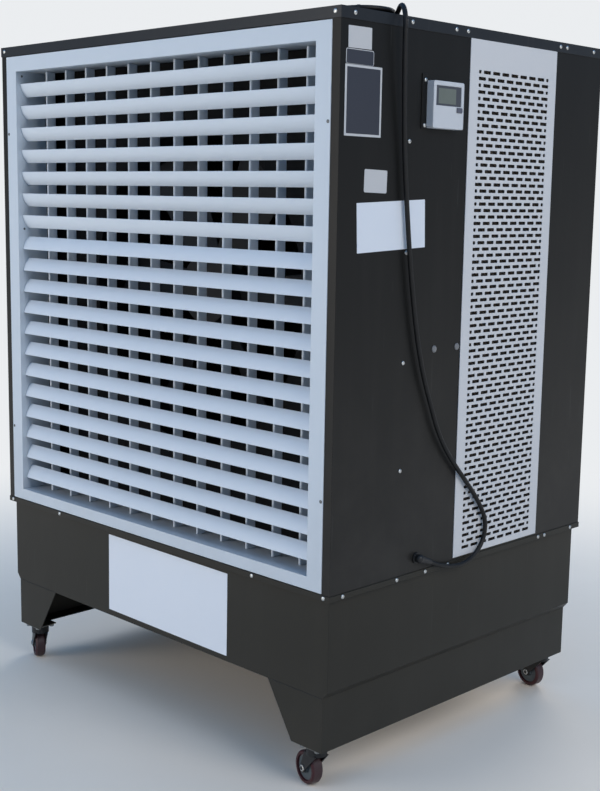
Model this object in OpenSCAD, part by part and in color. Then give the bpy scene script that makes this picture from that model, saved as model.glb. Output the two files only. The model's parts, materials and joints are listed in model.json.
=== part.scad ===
// Mobile evaporative cooler: a sheet-metal cabinet with a louvred outlet and three wet-pad
// inlets, standing on a water tank with skirted legs and four swivel casters.
// Millimetres. +Z is up, the air outlet faces -Y, and the floor is at z = 0.

/* [Cabinet] */
// Width of the cabinet across the front
cab_w = 1150; // [1050:10:1250]
// Depth of the cabinet from front to rear
cab_d = 890; // [850:10:1000]
// Height of the cabinet above the tank
cab_h = 1130; // [1050:10:1250]
// Thickness of the sheet metal
sheet = 1.5; // [1:0.1:2]
// Height of the roof's turned-down edge
roof_lip = 22; // [18:1:30]
// Depth of the dark panel between the front edge and the inlet panel
front_panel_d = 391; // [380:1:420]
// How far the controller and, on the other side, the hose spigots stand out from the cabinet
side_reach = 17; // [14:1:24]

/* [Outlet grille] */
// Dark strip left showing on each side of the grille frame
strip_w = 23; // [15:1:30]
// Gap above and below the grille frame
frame_gap = 2; // [1:0.5:4]
// Width of the frame's face at the sides
frame_side = 41; // [35:1:50]
// Width of the frame's face at the top
frame_top = 36; // [30:1:45]
// Width of the frame's face at the bottom
frame_bottom = 27; // [22:1:40]
// Depth of the frame's inner walls
jamb_d = 84; // [84:1:100]
// Thickness of the frame's inner walls
jamb_t = 3; // [2:0.5:4]

/* [Blades and vanes] */
// Number of blades in the upper bank
upper_count = 7; // [7:1:7]
// Number of blades in the lower bank
lower_count = 12; // [12:1:12]
// Number of upright vanes
vane_count = 12; // [12:1:12]
// Chord of a blade
blade_chord = 36; // [30:1:38]
// Thickness of a blade at its middle
blade_t = 8; // [7.5:0.5:9]
// Thickness of a blade at its edges
blade_edge = 2.4; // [2:0.2:3]
// Tilt of the blades from level, as they stand
blade_tilt = 60; // [50:1:65]
// First and last blade axis, from the opening's top and bottom
blade_margin = 44; // [40:1:60]
// Blade axis behind the frame's face
blade_depth = 21; // [21:0.5:23]
// Chord of a vane
vane_chord = 26; // [22:1:30]
// Thickness of a vane
vane_t = 6.5; // [6.2:0.1:8]
// First and last vane axis, from the opening's sides
vane_margin = 65; // [50:1:80]
// Vane axis behind the frame's face
vane_depth = 56; // [55:1:62]
// Radius of the pivot pins
pin_r = 3; // [2.5:0.1:3]
// Radial clearance of a pin in its bore
pin_clear = 0.06; // [0.05:0.01:0.08]
// Gap between a blade's or a vane's end and the frame
end_gap = 1; // [0.5:0.1:2]

/* [Inlet panels] */
// Width of one perforated inlet panel
inlet_w = 312; // [300:1:330]
// How far an inlet panel laps over its neighbours
inlet_lap = 12; // [10:1:15]
// Length of a slot
slot_l = 25; // [18:1:26]
// Height of a slot
slot_h = 7; // [4:0.5:8]
// Distance between slots along a row
slot_pitch = 32.6; // [30:0.2:36]
// Distance between rows of slots
row_pitch = 27.2; // [24:0.2:32]
// Plain margin above the slots
slot_top = 63; // [50:1:80]
// Plain margin below the slots
slot_bottom = 16; // [12:1:30]
// Plain margin beside the slots
slot_side = 30; // [26:1:34]
// Width of the post between the two rear inlet panels
post_w = 84; // [70:1:100]
// Thickness of the wet pads
pad_t = 90; // [60:5:100]
// Space above the wet pads
pad_head = 60; // [50:1:90]
// How far a pad reaches past its inlet opening on each side
pad_over = 11; // [5:1:15]

/* [Tank and legs] */
// Height of the tank with its rim
tank_h = 222; // [200:1:260]
// Height of the tank's rim
rim_h = 12; // [10:1:16]
// How far the tank is set back under the rim
tank_inset = 12; // [8:1:16]
// Thickness of the tank's walls and floor
tank_wall = 4; // [3:0.5:6]
// How far the leg skirts are set in from the tank's sides
skirt_inset = 13; // [8:1:20]
// Thickness of the leg skirts
skirt_t = 2.5; // [2:0.1:4]
// Height of the legs
leg_h = 117; // [100:1:150]
// Width of a leg at its top
leg_top_w = 160; // [140:1:200]
// Width of a leg at its foot
leg_foot_w = 88; // [80:1:110]
// Width of a skirt's turned-in lower edge
skirt_flange = 42; // [30:1:50]
// Radius of the hose spigots
spigot_r = 10.5; // [8:0.5:12]
// Radius of the spigots' bores
spigot_bore = 7; // [5:0.5:7]
// Height of the drain spigot above the tank's underside
drain_z = 34; // [30:1:45]
// Height of the water inlet spigot above the tank's underside
fill_z = 150; // [120:1:160]
// Distance of the spigots behind the cabinet's middle
spigot_y = 150; // [50:10:200]

/* [Casters] */
// Overall height of a caster
caster_h = 97; // [88:1:106]
// Diameter of a caster wheel
wheel_d = 72; // [66:1:73]
// Width of a caster wheel
wheel_w = 25; // [22:1:26]
// Distance from a swivel axis to its wheel's axle
trail = 28; // [20:1:30]
// Side of a caster's square plate
plate_a = 54; // [50:1:56]
// Swivel axis from the outside of the side skirt
swivel_in = 42; // [40:1:48]
// Radius of a wheel's axle
axle_r = 4; // [3:0.5:5]
// Radius of a swivel pin
king_r = 6; // [5:0.5:7]

/* [Fan and water] */
// Radius of the fan at its blade tips
fan_r = 340; // [300:5:350]
// Gap from the fan's blade tips to the duct
tip_gap = 18; // [15:1:25]
// Radius of the fan's hub
hub_r = 80; // [70:1:90]
// Length of the fan's hub
hub_l = 70; // [66:1:80]
// Number of fan blades
fan_blades = 6; // [4:1:7]
// Length of the fan duct
duct_l = 150; // [140:1:170]
// Fan plate behind the cabinet's front
shroud_depth = 130; // [125:1:150]
// Radius of the fan motor
motor_r = 70; // [60:1:80]
// Length of the fan motor
motor_l = 140; // [120:1:160]
// Radius of the fan's shaft
shaft_r = 9; // [8:0.5:12]
// Radius of the pump
pump_r = 48; // [40:1:50]
// Height of the pump
pump_h = 150; // [120:1:180]
// Radius of the water pipes
pipe_r = 12; // [9:1:14]

/* [Controller and cord] */
// Width of the controller
ctrl_w = 97; // [90:1:105]
// Height of the controller
ctrl_h = 93; // [85:1:100]
// Controller's front edge behind the cabinet's front
ctrl_y = 254; // [250:1:270]
// Controller's underside above the cabinet's underside
ctrl_z = 920; // [850:1:930]
// Width of the screen
screen_w = 80; // [70:1:82]
// Height of the screen
screen_h = 39; // [34:1:42]
// Width of the button
button_w = 18; // [14:1:20]
// Height of the button
button_h = 10; // [8:0.5:11]
// Travel of the button
button_travel = 1.5; // [1:0.1:1.5]
// Diameter of the cord
cord_d = 10; // [10:1:10]

/* [Hidden] */
$fn = 48;

UPPER = [for (i = [1:upper_count]) str("upper_blade_", i)];
LOWER = [for (i = [1:lower_count]) str("lower_blade_", i)];
VANES = [for (i = [1:vane_count]) str("vane_", i)];
CORNERS = ["front_left", "front_right", "rear_left", "rear_right"];
FORKS = [for (c = CORNERS) str("caster_fork_", c)];
WHEELS = [for (c = CORNERS) str("caster_wheel_", c)];

// Colours
DARK = [0.17, 0.17, 0.16];
WHITE = [0.80, 0.85, 0.90];
BLACK = [0.05, 0.05, 0.05];
ZINC = [0.55, 0.57, 0.58];
BURGUNDY = [0.32, 0.06, 0.08];
PAPER = [0.45, 0.33, 0.20];

// How far cutters pass through what they cut, and how far joined solids run into each other
CUT = 1;
SINK = 2;

// Levels and outer faces
tank_z = caster_h + leg_h;
cab_z = tank_z + tank_h;
top_z = cab_z + cab_h;
lip_z = top_z - roof_lip;
front_y = -cab_d / 2;
rear_y = cab_d / 2;
skin_x = cab_w / 2 - sheet;
skin_y = cab_d / 2 - sheet;

// Grille frame and its opening
frame_w = cab_w - 2 * strip_w;
frame_z0 = cab_z + frame_gap;
frame_z1 = lip_z - frame_gap;
open_w = frame_w - 2 * frame_side;
open_z0 = frame_z0 + frame_bottom;
open_z1 = frame_z1 - frame_top;
return_gap = 3;
front_return = skin_x - open_w / 2 - jamb_t - return_gap;

// Rows of blades and vanes
blade_count = upper_count + lower_count;
blade_pitch = (open_z1 - open_z0 - 2 * blade_margin) / (blade_count - 1);
blade_y = front_y + blade_depth;
blade_len = open_w - 2 * end_gap;
vane_pitch = (open_w - 2 * vane_margin) / (vane_count - 1);
vane_y = front_y + vane_depth;
vane_len = open_z1 - open_z0 - 2 * end_gap;
pin_out = end_gap + jamb_t + 1;
function blade_z(i) = open_z1 - blade_margin - i * blade_pitch;
function vane_x(i) = -open_w / 2 + vane_margin + i * vane_pitch;

// Inlets: two in the sides, two in the rear
inlet_z0 = cab_z + 5;
inlet_h = lip_z - inlet_z0;
inlet_y0 = front_y + front_panel_d;
inlet_y1 = inlet_y0 + inlet_w;
rear_in_x0 = post_w / 2 - inlet_lap;
rear_in_x1 = rear_in_x0 + inlet_w;
pad_h = cab_h - pad_head;
pad_x = skin_x - sheet;
pad_y = skin_y - sheet;
pad_y0 = inlet_y0 + inlet_lap - pad_over;
pad_y1 = inlet_y1 - inlet_lap + pad_over;
pad_rear_x = rear_in_x1 - inlet_lap + pad_over;

// Tank and legs
tank_x = cab_w / 2 - tank_inset;
tank_y = cab_d / 2 - tank_inset;
skirt_x = tank_x - skirt_inset;
foot_w = swivel_in + plate_a / 2 + 3;
foot_d = plate_a + skirt_t + 3;
sill_gap = 0.5;
sill_lap = 8;

// Casters
swivel_x = skirt_x - swivel_in;
swivel_y = tank_y - skirt_t - plate_a / 2 - 1;
plate_t = 3;
race_gap = 0.3;
arm_t = 3;
arm_gap = 1.5;
run_clear = 0.06;
wheel_r = wheel_d / 2;
race_z0 = wheel_d + 2.5;
race_z1 = caster_h - plate_t - race_gap;

// Fan
fan_z = (cab_z + top_z) / 2;
duct_r = fan_r + tip_gap;
shroud_y = front_y + shroud_depth;
hub_y = shroud_y + duct_l / 2;
strap_w = 70;
strap_t = 4;
strap_y = shroud_y + duct_l - strap_t;
motor_y = strap_y + strap_t;
shaft_in = 60;

// Pump and pipes
tank_floor = tank_z + tank_wall;
pump_x = 430;
pump_y = tank_y - tank_wall - pump_r - 4;
pipe_z = cab_z + pad_h + pipe_r;
pipe_x = pad_x - pad_t / 2;
pipe_y = pad_y - pad_t / 2;

// Controller
ctrl_x = cab_w / 2 + side_reach;
ctrl_y0 = front_y + ctrl_y;
ctrl_z0 = cab_z + ctrl_z;
ctrl_depth = ctrl_x - skin_x;
screen_t = 1.5;
screen_pocket = 2.5;
screen_rim = 9;
button_gap = 0.3;
button_deep = 8;
button_proud = 1.5;
button_rim = 5;
button_below = 2;

// Screw places along a side: behind the cabinet's front, before and behind the inlet sheet, and
// before the cabinet's rear
SIDE_FRONT_SCREWS = [38, 203];
LIP_INLET_SCREWS = [50, 12];
RIM_INLET_SCREWS = [95, 18];
BEHIND_INLET_SCREWS = [12, 38];
side_rear_screw = 40;
// Screw places along the front and the rear: in from the cabinet's sides, beside the rear inlet
// sheets, and from the middle of the post
FRONT_LIP_SCREWS = [15];
FRONT_RIM_SCREWS = [17, 225];
rear_side_screw = 35;
rear_inlet_screw = 38;
post_screw = 12;
// The upright row of screws: behind the cabinet's front and above its underside
column_y = 205;
COLUMN_SCREWS = [226, 450, 673, 892];
screw_r = 2;
screw_clear = 0.2;
screw_l = 6;
head_r = 4.5;
head_t = 2;
lip_screw_z = top_z - 10;
rim_screw_z = cab_z - rim_h / 2;

// The cord's way from the gland, round a slack loop, up the side and over the roof's edge
cord_r = cord_d / 2;
CORD_ROUTE = [
    [584, -145, 452], [584, -115, 440], [584, -80, 430], [584, -40, 426], [584, -4, 432],
    [584, 25, 449], [584, 42, 472], [584, 47, 498], [584, 40, 524], [584, 24, 549],
    [584, 0, 579], [584, -30, 611], [584, -66, 648], [584, -102, 689], [584, -132, 734],
    [584, -155, 782], [584, -188, 862], [584, -213, 950], [584, -236, 1070], [584, -254, 1200],
    [584, -266, 1310], [588, -276, 1413], [592, -283, 1514], [593, -284, 1548], [585.8, -278.6, 1570],
    [570.6, -267.2, 1584], [551.4, -252.8, 1586], [527.4, -234.8, 1575], [515.4, -225.8, 1571.6],
    [504.2, -217.4, 1571.6]];
CORD_SIDES = 8;
CORD_STEPS = 3;
// Depth below the roof at which the cord starts to lean out over the roof's edge
CORD_TURN = 100;

// The coil on the roof: it winds in, climbs a layer and winds out again
COIL_SIDES = 6;
COIL_RINGS = 24;
coil_turns = 4;
coil_r = 62;
turn_step = 10.9;
layer_step = 11.6;
coil_start = CORD_ROUTE[len(CORD_ROUTE) - 1];
coil_lead = unit(coil_start - CORD_ROUTE[len(CORD_ROUTE) - 2]);
coil_mid = coil_start + cord_d * coil_lead + coil_r * cross([0, 0, 1], coil_lead);
coil_angle = atan2(-coil_lead[0], coil_lead[1]);
climb = 0.5;

// Plug
plug_l = 42;
plug_w = 36;
relief_l = 50;
relief_r = 8;
relief_tip_r = 5.5;
prong_r = 2.4;
prong_l = 19;
prong_gap = 19;

// Gland: a flange and a neck on the panel, and a sleeve that leans down along the cord
GLAND_AT = [584, -180, 466];
flange_r = 12;
flange_t = 4;
neck_r = 8.5;
knee_r = 9.6;
sleeve_r = 9;
sleeve_tip_r = 6.5;

module mirror_copy(axis) {
    children();
    mirror(axis) children();
}

// A rectangle with round corners, centred
module round_rect(w, h, r) {
    square([w - 2 * r, h], center = true);
    square([w, h - 2 * r], center = true);
    for (x = [-1, 1], y = [-1, 1]) translate([x * (w / 2 - r), y * (h / 2 - r)]) circle(r);
}

// A drawing's x, y laid along the object's Y, Z, and its depth along X
module along_x(x0, depth) {
    translate([x0, 0, 0]) rotate([90, 0, 90]) linear_extrude(depth) children();
}

// Where the screws stand along a side, and along one half of the rear
function side_screws(inlet_screws) = concat(
    [for (d = SIDE_FRONT_SCREWS) front_y + d],
    [for (d = inlet_screws) inlet_y0 - d],
    [for (d = BEHIND_INLET_SCREWS) inlet_y1 + d],
    [rear_y - side_rear_screw]);
function rear_screws() = [post_screw, rear_in_x1 + rear_inlet_screw, cab_w / 2 - rear_side_screw];

// One shape at every screw place of a level, pointing outwards from the surface along its own Z
module at_level(z, inlet_screws, front_screws) {
    mirror_copy([1, 0, 0]) translate([0, 0, z]) {
        for (y = side_screws(inlet_screws)) translate([cab_w / 2, y, 0]) rotate([0, 90, 0]) children();
        for (d = front_screws) translate([cab_w / 2 - d, front_y, 0]) rotate([90, 0, 0]) children();
        for (x = rear_screws()) translate([x, rear_y, 0]) rotate([-90, 0, 0]) children();
    }
}

module at_lip() {
    at_level(lip_screw_z, LIP_INLET_SCREWS, FRONT_LIP_SCREWS) children();
}

module at_rim() {
    at_level(rim_screw_z, RIM_INLET_SCREWS, FRONT_RIM_SCREWS) children();
}

module at_columns() {
    mirror_copy([1, 0, 0]) for (z = COLUMN_SCREWS)
        translate([skin_x, front_y + column_y, cab_z + z]) rotate([0, 90, 0]) children();
}

module screw_hole() {
    translate([0, 0, -screw_l - CUT]) cylinder(r = screw_r + screw_clear, h = screw_l + 2 * CUT);
}

module screw() {
    translate([0, 0, -screw_l]) cylinder(r = screw_r, h = screw_l + head_t / 2);
    cylinder(r1 = head_r, r2 = head_r * 0.7, h = head_t);
}

module panel_screws() {
    color(ZINC) {
        at_lip() screw();
        at_columns() screw();
        at_rim() screw();
    }
}

module roof_panel() {
    color(DARK) difference() {
        translate([-cab_w / 2, front_y, lip_z]) cube([cab_w, cab_d, roof_lip]);
        translate([-skin_x, -skin_y, lip_z - CUT]) cube([2 * skin_x, 2 * skin_y, roof_lip - sheet + CUT]);
        at_lip() screw_hole();
    }
}

// A corner panel in plan: its side, and the edge turned in along the front or the rear
module corner_plan(side_l, return_l) {
    translate([-sheet, 0]) square([sheet, side_l]);
    translate([-return_l, 0]) square([return_l, sheet]);
}

module corner_panels() {
    panel_h = cab_h - sheet;
    rear_return = skin_x - rear_in_x1 + inlet_lap;
    color(DARK) difference() {
        translate([0, 0, cab_z]) {
            linear_extrude(panel_h) mirror_copy([1, 0, 0]) {
                translate([skin_x, -skin_y])
                    corner_plan(inlet_y0 + inlet_lap + skin_y, front_return);
                translate([skin_x, skin_y]) mirror([0, 1])
                    corner_plan(skin_y - inlet_y1 + inlet_lap, rear_return);
            }
            translate([-post_w / 2, skin_y - sheet, 0]) cube([post_w, sheet, panel_h]);
        }
        at_lip() screw_hole();
        at_columns() screw_hole();
    }
}

// One inlet sheet drawn flat, with staggered rows of slots: every other row is shifted half a
// pitch and has one slot less
module inlet_sheet() {
    count = floor((inlet_w - 2 * slot_side - slot_l) / slot_pitch) + 1;
    x0 = (inlet_w - (count - 1) * slot_pitch - slot_l) / 2;
    rows = floor((inlet_h - slot_top - slot_bottom - slot_h) / row_pitch) + 1;
    y0 = inlet_h - slot_top - slot_h - (rows - 1) * row_pitch;
    difference() {
        square([inlet_w, inlet_h]);
        for (r = [0:rows - 1], i = [0:count - 1 - r % 2])
            translate([x0 + slot_pitch * (i + (r % 2) / 2), y0 + r * row_pitch]) square([slot_l, slot_h]);
    }
}

module inlet_panels() {
    color(WHITE) {
        mirror_copy([1, 0, 0])
            along_x(skin_x, sheet) translate([inlet_y0, inlet_z0]) inlet_sheet();
        mirror_copy([1, 0, 0])
            translate([rear_in_x0, rear_y, inlet_z0]) rotate([90, 0, 0]) linear_extrude(sheet) inlet_sheet();
    }
}

module grille_frame() {
    wall_w = open_w + 2 * jamb_t;
    open_h = open_z1 - open_z0;
    color(WHITE) difference() {
        union() {
            translate([-frame_w / 2, front_y, frame_z0]) cube([frame_w, sheet, frame_z1 - frame_z0]);
            translate([-wall_w / 2, front_y, open_z0 - jamb_t]) cube([wall_w, jamb_d, open_h + 2 * jamb_t]);
        }
        translate([-open_w / 2, front_y - CUT, open_z0]) cube([open_w, jamb_d + 2 * CUT, open_h]);
        for (i = [0:blade_count - 1]) translate([0, blade_y, blade_z(i)]) rotate([0, 90, 0])
            cylinder(r = pin_r + pin_clear, h = wall_w + 2 * CUT, center = true);
        for (i = [0:vane_count - 1]) translate([vane_x(i), vane_y, open_z0 - jamb_t - CUT])
            cylinder(r = pin_r + pin_clear, h = open_h + 2 * jamb_t + 2 * CUT);
    }
}

// A blade's section: two shallow arcs between round edges
module blade_section() {
    half = blade_chord / 2 - blade_edge / 2;
    rise = (blade_t - blade_edge) / 2;
    arc_r = (half * half + rise * rise) / (2 * rise);
    intersection() {
        translate([0, blade_t / 2 - arc_r]) circle(arc_r, $fn = 200);
        translate([0, arc_r - blade_t / 2]) circle(arc_r, $fn = 200);
        square([2 * half, blade_t], center = true);
    }
    for (s = [-1, 1]) translate([s * half, 0]) circle(blade_edge / 2, $fn = 24);
}

module blade(i) {
    tilt = i < upper_count ? -blade_tilt : blade_tilt;
    color(WHITE) translate([0, blade_y, blade_z(i)]) rotate([tilt, 0, 0]) {
        along_x(-blade_len / 2, blade_len) blade_section();
        mirror_copy([1, 0, 0]) translate([blade_len / 2 - SINK, 0, 0]) rotate([0, 90, 0])
            cylinder(r = pin_r, h = SINK + pin_out);
    }
}

module vane(i) {
    half = vane_chord / 2 - vane_t / 2;
    color(WHITE) translate([vane_x(i), vane_y, open_z0 + end_gap]) {
        linear_extrude(vane_len) {
            square([vane_t, 2 * half], center = true);
            for (s = [-1, 1]) translate([0, s * half]) circle(vane_t / 2, $fn = 24);
        }
        translate([0, 0, -pin_out]) cylinder(r = pin_r, h = SINK + pin_out);
        translate([0, 0, vane_len - SINK]) cylinder(r = pin_r, h = SINK + pin_out);
    }
}

module spigot(z) {
    reach = cab_w / 2 + side_reach - tank_x;
    translate([-tank_x - reach, spigot_y, tank_z + z]) rotate([0, 90, 0]) children();
}

// The tank seen from the front: its lower side edges slope in to the leg skirts, and its top
// runs into the rim
module tank_outline() {
    body_h = tank_h - rim_h / 2;
    polygon([
        [-skirt_x, 0], [skirt_x, 0], [tank_x, skirt_inset + 2], [tank_x, body_h],
        [-tank_x, body_h], [-tank_x, skirt_inset + 2]]);
}

// Low sills on the rim, closing the gap under each inlet sheet
module inlet_sills() {
    sill_l = inlet_w - 2 * inlet_lap - 2 * sill_gap;
    sill_h = SINK + inlet_z0 - cab_z + sill_lap;
    translate([0, 0, cab_z - SINK]) mirror_copy([1, 0, 0]) {
        translate([skin_x - sheet, inlet_y0 + inlet_lap + sill_gap, 0]) cube([sheet, sill_l, sill_h]);
        translate([rear_in_x0 + inlet_lap + sill_gap, skin_y - sheet, 0]) cube([sill_l, sheet, sill_h]);
    }
}

module water_tank() {
    spigot_l = cab_w / 2 + side_reach - tank_x;
    inner_x = skirt_x - tank_wall;
    inner_y = tank_y - tank_wall;
    color(DARK) difference() {
        union() {
            translate([0, tank_y, tank_z]) rotate([90, 0, 0]) linear_extrude(2 * tank_y) tank_outline();
            translate([-cab_w / 2, front_y, cab_z - rim_h]) cube([cab_w, cab_d, rim_h]);
            inlet_sills();
            for (z = [drain_z, fill_z]) spigot(z) cylinder(r = spigot_r, h = spigot_l + SINK);
        }
        translate([-inner_x, -inner_y, tank_floor]) cube([2 * inner_x, 2 * inner_y, tank_h]);
        for (z = [drain_z, fill_z])
            spigot(z) translate([0, 0, -CUT]) cylinder(r = spigot_bore, h = spigot_l + tank_inset + skirt_inset + CUT);
        at_rim() screw_hole();
    }
}

// One side skirt with its turned-in lower edge, its leg faces and the feet that carry the casters
module leg_skirt() {
    leg_face = [[skirt_x, leg_h], [skirt_x - leg_top_w, leg_h], [skirt_x - leg_foot_w, 0], [skirt_x, 0]];
    translate([skirt_x - skirt_t, -tank_y, caster_h]) cube([skirt_t, 2 * tank_y, leg_h]);
    translate([skirt_x - skirt_flange, -tank_y, caster_h]) cube([skirt_flange, 2 * tank_y, skirt_t]);
    mirror_copy([0, 1, 0]) {
        translate([0, tank_y, caster_h]) rotate([90, 0, 0]) linear_extrude(skirt_t) polygon(leg_face);
        translate([skirt_x - foot_w, tank_y - foot_d, caster_h])
            cube([foot_w, foot_d, skirt_t]);
    }
}

module leg_skirts() {
    color(DARK) mirror_copy([1, 0, 0]) leg_skirt();
}

// Where caster number c stands, and how far it is turned: front left, front right, rear left, rear right
function caster_x(c) = (c % 2 == 0 ? -1 : 1) * swivel_x;
function caster_y(c) = (c < 2 ? -1 : 1) * swivel_y;
CASTER_TURN = [-25, -13, -20, -8];

module caster_plates() {
    color(ZINC) for (c = [0:3]) translate([caster_x(c), caster_y(c), caster_h - plate_t]) {
        linear_extrude(plate_t) round_rect(plate_a, plate_a, 6);
        translate([0, 0, race_z0 + 1 - caster_h + plate_t]) cylinder(r = king_r, h = caster_h - race_z0 - 2);
    }
}

// One cheek of a fork seen from the side, from the swivel race down to the axle
module fork_cheek() {
    eye_r = axle_r + 6;
    polygon([[-22, race_z0 + SINK], [20, race_z0 + SINK], [-trail + eye_r, wheel_r], [-trail - eye_r, wheel_r]]);
    translate([-trail, wheel_r]) circle(eye_r);
}

module caster_fork(c) {
    cheek_y = wheel_w / 2 + arm_gap;
    color(BLACK) translate([caster_x(c), caster_y(c), 0]) rotate([0, 0, CASTER_TURN[c]]) {
        difference() {
            translate([0, 0, race_z0]) cylinder(r = 22, h = race_z1 - race_z0);
            translate([0, 0, race_z0 - CUT]) cylinder(r = king_r + run_clear, h = caster_h);
        }
        mirror_copy([0, 1, 0]) translate([0, cheek_y + arm_t, 0]) rotate([90, 0, 0])
            linear_extrude(arm_t) fork_cheek();
        translate([-trail, 0, wheel_r]) rotate([90, 0, 0])
            cylinder(r = axle_r, h = 2 * (cheek_y + arm_t + 3), center = true);
    }
}

// Half of a wheel's section: bore, hub, thin web and a crowned tread
module wheel_section() {
    half = wheel_w / 2;
    bore = axle_r + run_clear;
    tread_r = wheel_r - 8;
    polygon([
        [bore, -half - 1], [axle_r + 7, -half - 1], [axle_r + 8, -half + 4], [tread_r - 1, -half + 4],
        [tread_r, -half], [wheel_r - 3, -half], [wheel_r, -half + 4], [wheel_r, half - 4],
        [wheel_r - 3, half], [tread_r, half], [tread_r - 1, half - 4], [axle_r + 8, half - 4],
        [axle_r + 7, half + 1], [bore, half + 1]]);
}

module caster_wheel(c) {
    color(BURGUNDY) translate([caster_x(c), caster_y(c), 0]) rotate([0, 0, CASTER_TURN[c]])
        translate([-trail, 0, wheel_r]) rotate([90, 0, 0]) rotate_extrude() wheel_section();
}

// Middles of the screen and the button on the controller's face
screen_mid = [ctrl_y0 + ctrl_w / 2, ctrl_z0 + ctrl_h - screen_rim - screen_h / 2];
button_mid = [
    ctrl_y0 + ctrl_w - button_rim - button_w / 2,
    ctrl_z0 + ctrl_h - screen_rim - screen_h - button_below - button_h / 2];

module controller_case() {
    color(WHITE) difference() {
        along_x(skin_x, ctrl_depth)
            translate([ctrl_y0 + ctrl_w / 2, ctrl_z0 + ctrl_h / 2]) round_rect(ctrl_w, ctrl_h, 4);
        along_x(ctrl_x - screen_pocket, screen_pocket + CUT)
            translate(screen_mid) square([screen_w, screen_h], center = true);
        along_x(ctrl_x - button_deep, button_deep + CUT)
            translate(button_mid) square([button_w, button_h], center = true);
    }
}

module controller_screen() {
    color([0.37, 0.40, 0.38]) along_x(ctrl_x - screen_pocket, screen_t)
        translate(screen_mid) square([screen_w - 2 * button_gap, screen_h - 2 * button_gap], center = true);
}

module controller_button() {
    rest_gap = button_travel + button_gap;
    color([0.6, 0.63, 0.66]) along_x(ctrl_x - button_deep + rest_gap, button_deep - rest_gap + button_proud)
        translate(button_mid) round_rect(button_w - 2 * button_gap, button_h - 2 * button_gap, 2);
}

module cord_gland() {
    sleeve = CORD_ROUTE[0] - GLAND_AT;
    color(BLACK) {
        translate([skin_x, GLAND_AT[1], GLAND_AT[2]]) rotate([0, 90, 0]) {
            cylinder(r = flange_r, h = flange_t);
            cylinder(r = neck_r, h = GLAND_AT[0] - skin_x);
        }
        translate(GLAND_AT) {
            sphere(knee_r);
            rotate([-90 + atan2(sleeve[2], sleeve[1]), 0, 0])
                cylinder(r1 = sleeve_r, r2 = sleeve_tip_r, h = norm(sleeve));
        }
    }
}

function unit(v) = v / norm(v);

// A smooth curve through the route's points
function curve_point(p, i, t) =
    let (a = p[max(i - 1, 0)], b = p[i], c = p[i + 1], d = p[min(i + 2, len(p) - 1)])
    0.5 * (2 * b + (c - a) * t + (2 * a - 5 * b + 4 * c - d) * t * t + (3 * b - a - 3 * c + d) * t * t * t);
function curve(p, steps) = concat(
    [for (i = [0:len(p) - 2], s = [0:steps - 1]) curve_point(p, i, s / steps)], [p[len(p) - 1]]);

// A tube round a path: a ring of corners square to the path at each point, joined by triangles.
// Each ring's first corner lies towards a given spoke, so that the rings don't twist.
function ring(at, along, spoke, r, sides) =
    let (u = unit(spoke - (spoke * along) * along), v = cross(u, along))
    [for (k = [0:sides - 1]) at + r * (cos(360 * k / sides) * u + sin(360 * k / sides) * v)];
function path_along(p, i) = unit(p[min(i + 1, len(p) - 1)] - p[max(i - 1, 0)]);

module tube(p, spokes, r, sides) {
    n = len(p);
    points = [for (i = [0:n - 1]) each ring(p[i], path_along(p, i), spokes[i], r, sides)];
    walls = [for (i = [0:n - 2], k = [0:sides - 1])
        let (a = i * sides + k, b = i * sides + (k + 1) % sides, c = a + sides, d = b + sides)
        each [[a, c, b], [b, c, d]]];
    start_cap = [for (k = [1:sides - 2]) [0, k, k + 1]];
    last = (n - 1) * sides;
    end_cap = [for (k = [1:sides - 2]) [last, last + k + 1, last + k]];
    polyhedron(points, concat(walls, start_cap, end_cap));
}

module power_cord() {
    path = curve(CORD_ROUTE, CORD_STEPS);
    spokes = [for (i = [0:len(path) - 1])
        path[i][2] < top_z - CORD_TURN ? cross(path_along(path, i), [1, 0, 0]) : [0, 1, 0]];
    color(BLACK) tube(path, spokes, cord_r, CORD_SIDES);
}

// The coil's path: turn t runs from 0 to coil_turns, in on the lower layer and out on the upper
function coil_layer(t) =
    let (m = coil_turns / 2, s = (t - m + climb / 2) / climb)
    s <= 0 ? 0 : s >= 1 ? 1 : (1 - cos(180 * s)) / 2;
function coil_radius(t) = coil_r - turn_step * min(t, coil_turns - t);
function coil_at(t) =
    let (a = coil_angle + 360 * t)
    coil_mid + [coil_radius(t) * cos(a), coil_radius(t) * sin(a), layer_step * coil_layer(t)];
coil_winding = [for (i = [0:coil_turns * COIL_RINGS]) coil_at(i / COIL_RINGS)];
coil_path = concat(
    [coil_start], coil_winding, [coil_winding[coil_turns * COIL_RINGS] + cord_d * coil_lead]);

// Least gap between turns, measured on the path's points more than a third of a turn apart
function coil_gap(i) = min([for (j = [i + COIL_RINGS / 3:len(coil_path) - 1]) norm(coil_path[i] - coil_path[j])]);
echo(least_coil_gap = min([for (i = [0:len(coil_path) - 1 - COIL_RINGS / 3]) coil_gap(i)]) - cord_d);

module cord_coil() {
    spokes = [for (i = [0:len(coil_path) - 1]) cross(path_along(coil_path, i), [0, 0, 1])];
    color(BLACK) tube(coil_path, spokes, cord_r, COIL_SIDES);
}

module mains_plug() {
    from = coil_path[len(coil_path) - 1];
    half_h = from[2] - top_z - 0.2;
    color(BLACK) translate(from) rotate([0, 90, atan2(coil_lead[1], coil_lead[0])]) {
        cylinder(r1 = relief_tip_r, r2 = relief_r, h = relief_l + SINK);
        translate([0, 0, relief_l]) linear_extrude(plug_l) round_rect(2 * half_h, plug_w, 8);
        for (s = [-1, 1]) translate([0, s * prong_gap / 2, relief_l + plug_l - SINK])
            cylinder(r = prong_r, h = prong_l + SINK);
    }
}

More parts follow.
